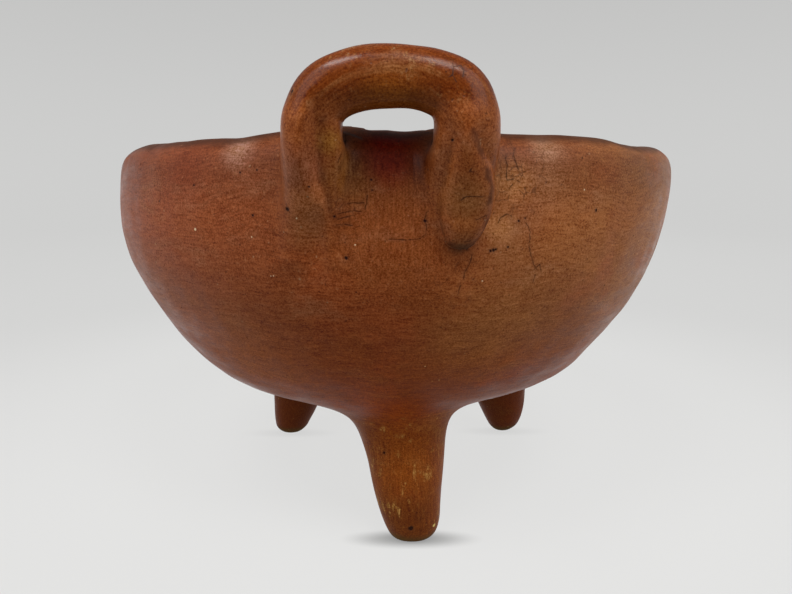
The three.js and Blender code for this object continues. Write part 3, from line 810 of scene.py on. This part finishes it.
class Net:
    """Short ways to wire shader nodes. Sizes are in millimetres."""

    def __init__(self, tree):
        self.tree = tree

    def add(self, kind, **props):
        n = self.tree.nodes.new(kind)
        for k, v in props.items():
            setattr(n, k, v)
        return n

    def put(self, socket, v):
        if isinstance(v, bpy.types.NodeSocket):
            self.tree.links.new(v, socket)
        else:
            socket.default_value = v

    def m(self, op, a, b=None, c=None):
        n = self.add("ShaderNodeMath", operation=op)
        for i, v in enumerate((a, b, c)):
            if v is not None:
                self.put(n.inputs[i], v)
        return n.outputs[0]

    def v(self, op, a, b=None, c=None, scale=None):
        n = self.add("ShaderNodeVectorMath", operation=op)
        for i, x in enumerate((a, b, c)):
            if x is not None:
                self.put(n.inputs[i], x)
        if scale is not None:
            self.put(n.inputs["Scale"], scale)
        return n.outputs["Value"] if op in ("DISTANCE", "LENGTH", "DOT_PRODUCT") else n.outputs["Vector"]

    def noise(self, at, size, detail=2.0, rough=0.5, colour=False):
        n = self.add("ShaderNodeTexNoise", noise_dimensions="3D")
        self.put(n.inputs["Vector"], at)
        n.inputs["Scale"].default_value = 1 / size
        n.inputs["Detail"].default_value = detail
        n.inputs["Roughness"].default_value = rough
        return n.outputs["Color"] if colour else n.outputs[0]

    def cells(self, at, size, feature="F1"):
        n = self.add("ShaderNodeTexVoronoi", feature=feature)
        self.put(n.inputs["Vector"], at)
        n.inputs["Scale"].default_value = 1 / size
        return n

    def span(self, x, a, b, lo=0.0, hi=1.0):
        n = self.add("ShaderNodeMapRange", interpolation_type="SMOOTHSTEP", clamp=False)
        self.put(n.inputs["Value"], x)
        if a > b:
            a, b, lo, hi = b, a, hi, lo
        n.inputs["From Min"].default_value = a
        n.inputs["From Max"].default_value = b
        n.inputs["To Min"].default_value = lo
        n.inputs["To Max"].default_value = hi
        return n.outputs["Result"]

    def mix(self, fac, a, b, mode="MIX"):
        n = self.add("ShaderNodeMix", data_type="RGBA", blend_type=mode)
        self.put(n.inputs[0], fac)
        for i, c in ((6, a), (7, b)):
            self.put(n.inputs[i], c if isinstance(c, bpy.types.NodeSocket) else (*c, 1.0))
        return n.outputs[2]

    def parts(self, x, kind="ShaderNodeSeparateXYZ"):
        n = self.add(kind)
        self.put(n.inputs[0], x)
        return n.outputs

    def join(self, a, b, c, kind="ShaderNodeCombineXYZ"):
        n = self.add(kind)
        for i, x in enumerate((a, b, c)):
            self.put(n.inputs[i], x)
        return n.outputs[0]

    def spot(self, at, centre, radius, soft=1.0):
        """1 in the middle of a round patch, 0 outside it."""
        return self.span(self.v("DISTANCE", at, centre), radius, radius * (1 - soft))

    def sum(self, *terms):
        """Adds (value, weight) pairs, each value taken from its middle at 0.5."""
        out = None
        for val, w in terms:
            t = self.m("MULTIPLY_ADD", val, w, -0.5 * w)
            out = t if out is None else self.m("ADD", out, t)
        return out


mat = bpy.data.materials.new("burnished_clay")
mat.use_nodes = True
g = Net(mat.node_tree)
bsdf = mat.node_tree.nodes["Principled BSDF"]
P = g.v("MULTIPLY_ADD", g.add("ShaderNodeTexCoord").outputs["Object"], (1000.0,) * 3, tuple(-SHIFT))
X, Y, Z = g.parts(P)
R = g.m("SQRT", g.m("MULTIPLY_ADD", X, X, g.m("MULTIPLY", Y, Y)))

# slow fields
tone = g.noise(P, 44, 3, 0.55)
tone2 = g.noise(g.v("ADD", P, (91.0, 17.0, 5.0)), 24, 3, 0.6)
blot = g.noise(P, 9, 4, 0.62)
grain = g.noise(P, 1.25, 3, 0.68)
grit = g.noise(P, 0.50, 2, 0.7)
shake = g.parts(g.noise(P, 2.4, 2, 0.6, colour=True), "ShaderNodeSeparateColor")
shake = g.join(*(g.m("SUBTRACT", v, 0.5) for v in shake))
Q = g.v("MULTIPLY_ADD", shake, (1.5, 1.5, 1.5), P)
facing_up = g.parts(g.add("ShaderNodeNewGeometry").outputs["Normal"])[2]

# burnishing strokes: level round the wall, upright on the legs, the roots and the wall between them, and along
# the arch of the tail
slack = g.m("MULTIPLY_ADD", g.noise(P, 30, 1), 9.0, Z)


def strokes(u, v, w):
    at = g.join(u, v, w)
    return g.noise(at, 0.62, 2, 0.70), g.noise(at, 2.5, 3, 0.6)


X7, Y7 = g.m("MULTIPLY", X, 0.12), g.m("MULTIPLY", Y, 0.12)
flat_fine, flat_wide = strokes(X7, Y7, slack)
up_fine, up_wide = strokes(X, Y, g.m("MULTIPLY", Z, 0.10))
ax, az = g.m("ADD", X, 1.0), g.m("SUBTRACT", Z, 134.0)
bow_r = g.m("SQRT", g.m("MULTIPLY_ADD", ax, ax, g.m("MULTIPLY", az, az)))
bow_fine, bow_wide = strokes(bow_r, Y, g.m("MULTIPLY", g.m("ARCTAN2", ax, az), 2.0))
on_tail = g.m("MULTIPLY", g.m("MAXIMUM", g.span(Z, 148.6, 150.2), g.span(Y, -111.2, -112.8)), g.span(Y, -60, -80))
# the middle of the wall below the tail
mid_wall = g.m("MULTIPLY", g.span(g.m("ABSOLUTE", g.m("MULTIPLY_ADD", blot, 20.0, g.m("SUBTRACT", X, 14.0))), 27, 16),
               g.m("MULTIPLY", g.span(Y, -60, -80), g.span(g.m("MULTIPLY_ADD", blot, 26.0, Z), 117, 126)))
upright = g.m("MAXIMUM", g.m("MAXIMUM", on_tail, mid_wall), g.span(Z, 50, 43))
bow = g.m("MULTIPLY", on_tail, g.span(Z, 141, 147))


def pick(flat, tall, arc):
    v = g.m("MULTIPLY_ADD", g.m("SUBTRACT", tall, flat), upright, flat)
    return g.m("MULTIPLY_ADD", g.m("SUBTRACT", arc, v), bow, v)


fine, wide = pick(flat_fine, up_fine, bow_fine), pick(flat_wide, up_wide, bow_wide)
# worn film, drawn out a little along the strokes
film_at = g.v("MULTIPLY", P, (0.45, 0.45, 1.0))
film = g.noise(g.v("ADD", film_at, (7.0, 31.0, 63.0)), 9, 5, 0.65)
smudge = g.noise(g.v("ADD", film_at, (57.0, 11.0, 3.0)), 5.5, 4, 0.7)

# inside of the bowl
height_up = g.m("MULTIPLY_ADD", Z, 1 / 110, -40 / 110)
half_wall = g.add("ShaderNodeFloatCurve")
g.put(half_wall.inputs["Value"], height_up)
curve = half_wall.mapping.curves[0]
WALL_MIDDLE = [(40, 0), (46, 24), (50, 52), (56, 69), (66, 81.5), (78, 91), (94, 99), (110, 103.8), (126, 105.8), (138, 104.6), (143.5, 101.6), (150, 99.5)]
while len(curve.points) < len(WALL_MIDDLE):
    curve.points.new(0.5, 0.5)
for pt, (z, r) in zip(curve.points, WALL_MIDDLE):
    pt.location = ((z - 40) / 110, r / 120)
    pt.handle_type = "VECTOR"
half_wall.mapping.update()
inside = g.span(g.m("MULTIPLY_ADD", R, 1 / 120, g.m("MULTIPLY", half_wall.outputs[0], -1.0)), 0.006, -0.012)
inside = g.m("MULTIPLY", inside, g.span(Z, 45.5, 47.5))
inside = g.m("MULTIPLY", inside, g.m("SUBTRACT", 1.0, on_tail))

# ground colours
col = g.mix(g.span(g.m("MULTIPLY_ADD", tone, 50.0, X), 5, -62), (0.182, 0.0410, 0.0085), (0.188, 0.0405, 0.0132))
col = g.mix(g.span(g.m("MULTIPLY_ADD", tone, 50.0, X), 45, 112), col, (0.222, 0.0680, 0.0165))
col = g.mix(g.span(g.m("MULTIPLY_ADD", tone2, 36.0, Z), 118, 66), col, (0.170, 0.0365, 0.0055))
col = g.mix(g.m("MULTIPLY", on_tail, 0.85), col, (0.190, 0.0450, 0.0092))
top = g.m("MULTIPLY", on_tail, g.span(g.m("MULTIPLY_ADD", blot, 8.0, Z), 153, 159))
col = g.mix(g.m("MULTIPLY", top, 0.80), col, (0.130, 0.0215, 0.0025))
col = g.mix(g.span(tone2, 0.50, 0.68, 0.0, 0.40), col, (0.235, 0.0440, 0.0100))
col = g.mix(g.span(film, 0.50, 0.72, 0.0, 0.42), col, (0.240, 0.0920, 0.0440))
col = g.mix(g.span(smudge, 0.55, 0.72, 0.0, 0.26), col, (0.115, 0.0180, 0.0040))
# patches seen in the photograph
PATCHES = [
    ((-62.0, -92.0, 138.0), 18.0, 0.60, (0.165, 0.0250, 0.0060)),      # dark red by the left rim
    ((-43.0, -99.0, 142.3), 8.0, 0.75, (0.360, 0.1600, 0.1050)),       # painted highlights on the rim, left and right of the tail
    ((41.0, -100.4, 143.8), 8.5, 0.60, (0.340, 0.1600, 0.0900)),
    ((76.0, -78.0, 139.5), 16.0, 0.45, (0.150, 0.0480, 0.0130)),
    ((-23.0, -115.0, 128.0), 8.0, 0.78, (0.360, 0.1120, 0.0380)),      # foot of the left root, painted lighter to lift the shade on its down-facing end
    ((-23.5, -111.0, 121.5), 9.0, 0.50, (0.330, 0.1080, 0.0380)),
    ((33.0, -97.0, 94.0), 34.0, 0.60, (0.250, 0.0860, 0.0230)),
    ((-48.0, -86.0, 78.0), 32.0, 0.45, (0.250, 0.0760, 0.0200)),
    ((-38.0, -103.0, 117.0), 22.0, 0.35, (0.160, 0.0330, 0.0085)),     # darker clouds on the wall
    ((-4.0, -110.0, 122.0), 17.0, 0.42, (0.135, 0.0310, 0.0065)),
    ((-20.0, -103.0, 100.0), 15.0, 0.30, (0.150, 0.0330, 0.0070)),
    ((-76.0, -72.0, 98.0), 26.0, 0.35, (0.270, 0.0820, 0.0300)),       # paler clouds
    ((41.0, -102.5, 133.0), 13.0, 0.45, (0.330, 0.1300, 0.0560)),
    ((31.0, -105.0, 117.0), 14.0, 0.32, (0.270, 0.1050, 0.0400)),
    ((-16.2, -118.3, 143.4), 5.0, 0.95, (0.235, 0.0820, 0.0130)),      # yellowish strip beside the left root
    ((-15.2, -114.0, 135.0), 6.0, 0.35, (0.215, 0.0720, 0.0160)),
    ((-11.8, -111.0, 133.0), 9.0, 0.45, (0.185, 0.0640, 0.0130)),      # olive below it
    ((-25.0, -116.0, 138.0), 10.0, 0.50, (0.225, 0.0760, 0.0440)),     # greyish red on the left root
    ((30.8, -106.5, 133.0), 9.5, 0.85, (0.410, 0.1500, 0.0500)),      # pale strip right of the tongue
    ((27.5, -107.0, 122.0), 7.5, 0.70, (0.370, 0.1320, 0.0420)),
    ((-1.0, -122.0, 151.0), 12.0, 0.75, (0.270, 0.0660, 0.0070)),      # painted light lifting the shade on the arch's down-facing lower side
    ((17.8, -115.0, 130.0), 10.0, 0.75, (0.240, 0.0830, 0.0240)),      # the tongue's face
    ((55.0, -96.0, 122.0), 22.0, 0.25, (0.260, 0.0900, 0.0260)),
    ((17.3, -110.5, 117.2), 5.0, 0.80, (0.060, 0.0300, 0.0120)),       # grime under the tongue
    ((17.8, -114.0, 121.0), 6.5, 0.35, (0.140, 0.0420, 0.0100)),
    ((9.0, -110.5, 138.0), 7.5, 1.00, (0.100, 0.0165, 0.0028)),        # painted shade on the web inside the right root, under the arch
    ((-14.0, -113.0, 138.0), 7.0, 0.80, (0.270, 0.0940, 0.0260)),
    ((0.0, -108.0, 111.0), 21.0, 0.42, (0.135, 0.0310, 0.0060)),
    ((18.5, -121.0, 149.0), 10.0, 0.40, (0.140, 0.0330, 0.0065)),
    ((2.0, -76.0, 52.0), 20.0, 0.50, (0.250, 0.0480, 0.0050)),         # the leg's top
    ((-1.6, -108.0, 144.0), 13.0, 1.00, (0.175, 0.0046, 0.0004)),      # painted shadow that the arch casts on the wall under it
    ((-1.0, -109.0, 138.0), 9.0, 0.80, (0.170, 0.0090, 0.0010)),
    ((20.0, -94.0, 86.0), 24.0, 0.35, (0.250, 0.0860, 0.0240)),
    ((6.0, -69.0, 13.0), 20.0, 0.95, (0.080, 0.0160, 0.0026)),         # dark foot
]
for centre, radius, strength, tint in PATCHES:
    m = g.m("MULTIPLY", g.spot(Q, centre, radius), g.m("MULTIPLY_ADD", blot, 0.8 * strength, 0.6 * strength))
    col = g.mix(m, col, tint)
# scuffs on the leg and the tail
scuff = g.m("MULTIPLY", g.span(g.noise(g.v("MULTIPLY", P, (1.0, 1.0, 0.45)), 2.9, 4, 0.72), 0.55, 0.68), g.span(film, 0.42, 0.56))
where = g.m("MAXIMUM", g.m("MULTIPLY", g.span(Z, 60, 46), g.span(Y, -40, -60)), g.m("MULTIPLY", top, 0.8))
col = g.mix(g.m("MULTIPLY", g.m("MULTIPLY", scuff, where), 0.72), col, (0.330, 0.1550, 0.0700))
col = g.mix(g.m("MULTIPLY", g.span(bow_wide, 0.54, 0.68), g.m("MULTIPLY", top, 0.30)), col, (0.255, 0.0950, 0.0360))

# brightness from mottling, strokes and grain
lift = g.m("ADD", 1.0, g.sum((tone, 0.30), (blot, 0.30), (wide, 0.40), (fine, 1.55), (grain, 0.70), (grit, 2.80)))
lift = g.m("MAXIMUM", lift, 0.25)
lift_r = g.m("MULTIPLY_ADD", lift, 0.68, 0.32)
lift_b = g.m("MAXIMUM", g.m("MULTIPLY_ADD", lift, 1.65, -0.65), 0.15)
col = g.mix(1.0, col, g.join(lift_r, lift, lift_b, "ShaderNodeCombineColor"), "MULTIPLY")
col = g.mix(g.span(grain, 0.58, 0.78, 0.0, 0.42), col, (0.320, 0.1250, 0.0550))
col = g.mix(g.span(grit, 0.40, 0.24, 0.0, 0.45), col, (0.078, 0.0110, 0.0022))

# darker crest of the lip, painted shade under the far half, dull inside
crest = g.m("MULTIPLY", g.span(g.m("MULTIPLY_ADD", blot, 0.25, facing_up), 0.80, 1.02), g.m("MULTIPLY", g.span(Z, 138, 141), g.span(R, 97, 99)))
crest = g.m("MULTIPLY", crest, g.m("SUBTRACT", 1.0, g.m("MAXIMUM", on_tail, inside)))
col = g.mix(g.m("MULTIPLY", crest, 0.75), col, (0.040, 0.0110, 0.0040))
far_painted_shade = g.m("MULTIPLY", g.span(Z, 52, 40), g.span(Y, -20, 10))
col = g.mix(g.m("MULTIPLY", far_painted_shade, 0.60), col, (0.072, 0.0080, 0.0006))
col = g.mix(g.m("MULTIPLY", inside, 0.45), col, (0.092, 0.0260, 0.0080))

# foot wear
wear = g.span(g.m("MULTIPLY_ADD", blot, 4.5, Z), 8.0, 3.6)
col = g.mix(g.m("MULTIPLY", wear, 0.75), col, (0.085, 0.0500, 0.0240))

# specks: dark grit and pale grit
speck = g.cells(Q, 2.7)
split = g.parts(speck.outputs["Color"], "ShaderNodeSeparateColor")
dot = g.span(speck.outputs["Distance"], 0.15, 0.07)
dark = g.m("MULTIPLY", dot, g.m("GREATER_THAN", split[0], 0.74))
pale = g.m("MULTIPLY", dot, g.m("GREATER_THAN", split[1], 0.86))
col = g.mix(g.m("MULTIPLY", dark, 0.52), col, (0.030, 0.0060, 0.0020))
col = g.mix(g.m("MULTIPLY", pale, 0.45), col, (0.360, 0.1900, 0.1000))


def along(at, rows):
    """Distance to the nearest of several rows of points."""
    out = None
    for row in rows:
        for a3, b3 in zip(row[:-1], row[1:]):
            a3, b3 = np.array(a3), np.array(b3)
            e3 = b3 - a3
            rel = g.v("SUBTRACT", at, tuple(a3))
            t = g.m("MINIMUM", g.m("MAXIMUM", g.v("DOT_PRODUCT", rel, tuple(e3 / (e3 @ e3))), 0.0), 1.0)
            d = g.v("DISTANCE", rel, g.v("SCALE", tuple(e3), scale=t))
            out = d if out is None else g.m("MINIMUM", out, d)
    return out


# grime where the tail is luted to the wall, with painted shade in the creases along it
seam = along(g.v("MULTIPLY_ADD", shake, (1.9, 1.9, 1.9), P), SEAMS)
gone = g.span(g.m("MULTIPLY_ADD", Z, -0.25, X), -22.0, -13.5, 0.42, 1.0)
seam = g.m("MULTIPLY", g.m("MULTIPLY", g.span(seam, 1.8, 0.1), gone), g.span(g.noise(P, 4.5, 2), 0.32, 0.62, 0.20, 0.80))
col = g.mix(seam, col, (0.050, 0.0115, 0.0030))

# cracks
Qc = g.v("MULTIPLY_ADD", shake, (0.9, 0.9, 0.9), P)
away = along(Qc, CRACKS)
thin = g.m("MULTIPLY_ADD", g.noise(P, 1.7, 1), 0.30, 0.02)
crack = g.span(g.m("DIVIDE", away, thin), 1.25, 0.55)
halo = g.span(away, 1.2, 0.2, 0.0, 0.16)
col = g.mix(halo, col, (0.085, 0.0220, 0.0070))
col = g.mix(g.m("MULTIPLY", crack, 0.68), col, (0.022, 0.0050, 0.0018))
# fine crazing in a few places
craze = g.cells(g.v("MULTIPLY_ADD", shake, (1.8, 1.8, 1.8), P), 3.4, "DISTANCE_TO_EDGE")
crazed = g.m("MAXIMUM", g.spot(P, (32.0, -105.0, 134.0), 14.0, 0.6), g.spot(P, (14.7, -123.3, 158.0), 7.5, 0.5))
crazed = g.m("MAXIMUM", crazed, g.spot(P, (-11.5, -110.0, 125.5), 9.0, 0.7))
crazed = g.m("MAXIMUM", crazed, g.m("MULTIPLY", g.spot(P, (18.0, -106.5, 106.0), 14.0, 0.8), 0.8))
crazed = g.m("MAXIMUM", crazed, g.m("MULTIPLY", g.spot(P, (-33.0, -106.0, 120.0), 16.0, 0.8), 0.5))
crazed = g.m("MULTIPLY", crazed, g.span(g.noise(g.v("ADD", P, (3.0, 50.0, 9.0)), 4.0, 1), 0.45, 0.58))
crazed = g.m("MULTIPLY", g.span(craze.outputs["Distance"], 0.060, 0.020), crazed)
col = g.mix(g.m("MULTIPLY", crazed, 0.48), col, (0.045, 0.0110, 0.0035))

# pits and flecks
near_pit = None
for x3, y3, z3, r3 in PITS:
    d = g.m("MULTIPLY", g.v("DISTANCE", Qc, (x3, y3, z3)), 1 / r3)
    near_pit = d if near_pit is None else g.m("MINIMUM", near_pit, d)
pit = g.span(near_pit, 1.35, 0.65)
col = g.mix(g.m("MULTIPLY", g.span(near_pit, 3.2, 1.2), 0.25), col, (0.085, 0.0200, 0.0060))
col = g.mix(g.m("MULTIPLY", pit, 0.93), col, (0.013, 0.0026, 0.0013))
near_fleck = None
for x3, y3, z3, r3 in FLECKS:
    d = g.m("MULTIPLY", g.v("DISTANCE", Qc, (x3, y3, z3)), 1 / r3)
    near_fleck = d if near_fleck is None else g.m("MINIMUM", near_fleck, d)
fleck = g.span(near_fleck, 1.2, 0.5)
col = g.mix(g.m("MULTIPLY", fleck, 0.85), col, (0.580, 0.4000, 0.2500))
# the whole a shade browner, and deeper low down
deep = g.mix(g.span(Z, 110, 52), (0.88, 0.970, 0.94), (1.18, 0.960, 0.35))
col = g.mix(1.0, col, deep, "MULTIPLY")
col = g.mix(1.0, col, g.mix(g.span(Z, 58, 42), (1.0, 1.0, 1.0), (0.75, 1.0, 1.35)), "MULTIPLY")
col = g.mix(1.0, col, g.mix(top, (1.0, 1.0, 1.0), (0.72, 0.72, 0.58)), "MULTIPLY")
brow = g.m("MULTIPLY", g.span(Z, 122, 140), g.m("SUBTRACT", 1.0, on_tail))
col = g.mix(1.0, col, g.mix(brow, (1.0, 1.0, 1.0), (0.66, 0.66, 0.68)), "MULTIPLY")
g.put(bsdf.inputs["Base Color"], col)

# gloss
rough = g.m("ADD", 0.50, g.sum((blot, 0.30), (wide, 0.22), (film, 0.40), (grain, 0.18)))
rough = g.m("MULTIPLY_ADD", on_tail, -0.10, rough)
rough = g.m("MULTIPLY_ADD", top, -0.15, rough)
rough = g.m("MULTIPLY_ADD", g.span(Z, 60, 45), 0.10, rough)
rough = g.m("MULTIPLY_ADD", inside, 0.12, rough)
rough = g.m("MULTIPLY_ADD", seam, 0.35, rough)
rough = g.m("MULTIPLY_ADD", g.m("MAXIMUM", g.m("MAXIMUM", pit, dark), g.m("MAXIMUM", wear, crack)), 0.30, rough)
g.put(bsdf.inputs["Roughness"], rough)
bsdf.inputs["IOR"].default_value = 1.5
bsdf.inputs["Specular IOR Level"].default_value = 0.10

# relief, mm
height = g.sum((blot, 0.055), (wide, 0.045), (fine, 0.022), (grain, 0.030), (grit, 0.012))
height = g.m("MULTIPLY", height, g.m("MULTIPLY_ADD", top, -0.55, 1.0))
height = g.m("MULTIPLY_ADD", pit, -0.30, height)
height = g.m("MULTIPLY_ADD", dark, -0.05, height)
bump = g.add("ShaderNodeBump")
bump.inputs["Strength"].default_value = 1.0
bump.inputs["Distance"].default_value = 0.001
g.put(bump.inputs["Height"], height)
g.put(bsdf.inputs["Normal"], bump.outputs[0])
for ob in PIECES:
    ob.data.materials.append(mat)

# ------------------------------------------------------------------ camera, floor, light

D, HC, PITCH, F_PX = 267.49, 135.06, 0.20119, 595.0
cam_data = bpy.data.cameras.new("camera")
cam_data.sensor_width = 36.0
cam_data.lens = F_PX / 792 * 36.0
cam_data.clip_start = 0.005
cam_data.clip_end = 20
cam = bpy.data.objects.new("camera", cam_data)
cam.location = ((0 + SHIFT[0]) / 1000, (-D + SHIFT[1]) / 1000, HC / 1000)
cam.rotation_euler = (math.pi / 2 - PITCH, 0, 0)
bpy.context.scene.collection.objects.link(cam)
bpy.context.scene.camera = cam


def backdrop():
    """A pale round floor that sweeps up into a wall all the way round, evenly lit and a little darker higher up, with
    painted contact shadows round the three feet.
    """
    prof = [(0.0, 0.0), (0.12, 0.0), (0.25, 0.0), (0.5, 0.0), (0.9, 0.0), (1.4, 0.0)]
    for i in range(1, 25):
        a = i / 24 * math.pi / 2
        prof.append((1.4 + 1.2 * math.sin(a), 1.2 - 1.2 * math.cos(a)))
    prof += [(2.6, 1.8), (2.6, 2.6), (2.6, 3.6)]
    n = 72
    pts = [(0.0, 0.0, -0.00005)]
    for r, z in prof[1:]:
        pts += [(r * math.cos(2 * math.pi * k / n), r * math.sin(2 * math.pi * k / n), z - 0.00005) for k in range(n)]
    faces = [(0, 1 + k, 1 + (k + 1) % n) for k in range(n)]
    for j in range(len(prof) - 2):
        a, b = 1 + j * n, 1 + (j + 1) * n
        faces += [(a + k, b + k, b + (k + 1) % n, a + (k + 1) % n) for k in range(n)]
    mesh = bpy.data.meshes.new("backdrop")
    mesh.from_pydata(pts, [], faces)
    mesh.polygons.foreach_set("use_smooth", [True] * len(mesh.polygons))
    ob = bpy.data.objects.new("backdrop", mesh)
    bpy.context.scene.collection.objects.link(ob)
    m = bpy.data.materials.new("backdrop")
    m.use_nodes = True
    b = m.node_tree.nodes["Principled BSDF"]
    w = Net(m.node_tree)
    at = w.add("ShaderNodeTexCoord").outputs["Object"]
    up = w.parts(at)[2]
    flat = w.v("MULTIPLY", at, (1.0, 1.0, 0.0))
    dist = w.v("LENGTH", flat)
    glow = w.m("MULTIPLY", w.span(dist, 0.10, 0.45, 0.685, 0.60), w.span(up, 0.05, 1.25, 1.0, 0.85))
    side = w.parts(at)[1]
    glow = w.m("MULTIPLY", glow, w.span(side, -0.10, 0.12, 1.0, 0.987))
    # painted contact shadows on the floor round the feet, darkest by the leg under the tail
    for foot, contact_shadow_dim in ((LEG_REAR, 0.46), (LEG_LEFT, 0.93), (LEG_RIGHT, 0.93)):
        x, y = (foot[0][1] + foot[0][2]) / 2000 + SHIFT[0] / 1000, (foot[0][3] - 4.2 + SHIFT[1]) / 1000
        near = w.v("LENGTH", w.v("MULTIPLY", w.v("SUBTRACT", flat, (x, y, 0.0)), (1.0, 4.0, 1.0)))
        glow = w.m("MULTIPLY", glow, w.span(near, 0.006, 0.029, contact_shadow_dim, 1.0))
    b.inputs["Base Color"].default_value = (0.05, 0.05, 0.049, 1)
    b.inputs["Roughness"].default_value = 0.9
    b.inputs["Specular IOR Level"].default_value = 0.0
    b.inputs["Emission Color"].default_value = (1.0, 1.0, 0.99, 1)
    w.put(b.inputs["Emission Strength"], glow)
    mesh.materials.append(m)
    ob.visible_diffuse = False
    ob.visible_glossy = False
    ob.visible_shadow = False
    ob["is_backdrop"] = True
    return ob


backdrop()


def area(name, at, aim, size, power, colour=(1, 1, 1)):
    d = bpy.data.lights.new(name, "AREA")
    d.shape = "RECTANGLE"
    d.size, d.size_y = size
    d.energy = power
    d.color = colour
    o = bpy.data.objects.new(name, d)
    o.location = at
    o.rotation_euler = (Vector(aim) - Vector(at)).to_track_quat("-Z", "Y").to_euler()
    bpy.context.scene.collection.objects.link(o)
    return o


area("key_left", (-0.76, -0.78, 0.84), (0, -0.06, 0.12), (0.90, 0.90), 8.5)
area("key_right", (0.80, -0.66, 0.88), (0, -0.06, 0.12), (0.90, 0.90), 9.0)
area("shine_left", (-0.33, -0.50, 1.03), (0, -0.12, 0.15), (0.32, 0.28), 7.6)
area("shine_right", (0.27, -0.60, 0.99), (0, -0.12, 0.15), (0.30, 0.28), 6.8)
area("back", (0.15, 1.05, 0.80), (0, 0.08, 0.11), (0.60, 0.45), 4.0).visible_glossy = False
world = bpy.data.worlds.new("studio")
world.use_nodes = True
bg = world.node_tree.nodes["Background"]
bg.inputs["Color"].default_value = (1, 1, 1, 1)
w = Net(world.node_tree)
way = w.parts(w.add("ShaderNodeTexCoord").outputs["Generated"])
sky = w.m("ADD", w.span(way[2], 0.15, -0.45, 0.21, 0.31), w.m("MULTIPLY", w.span(way[1], 0.0, 0.9, 0.0, 0.95), w.span(way[2], 0.34, 0.06)))
w.put(bg.inputs["Strength"], w.m("ADD", sky, w.span(w.m("ABSOLUTE", way[0]), 0.3, 0.95, 0.0, 0.40)))
bpy.context.scene.world = world
bpy.context.scene.view_settings.view_transform = "Standard"

lo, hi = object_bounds()
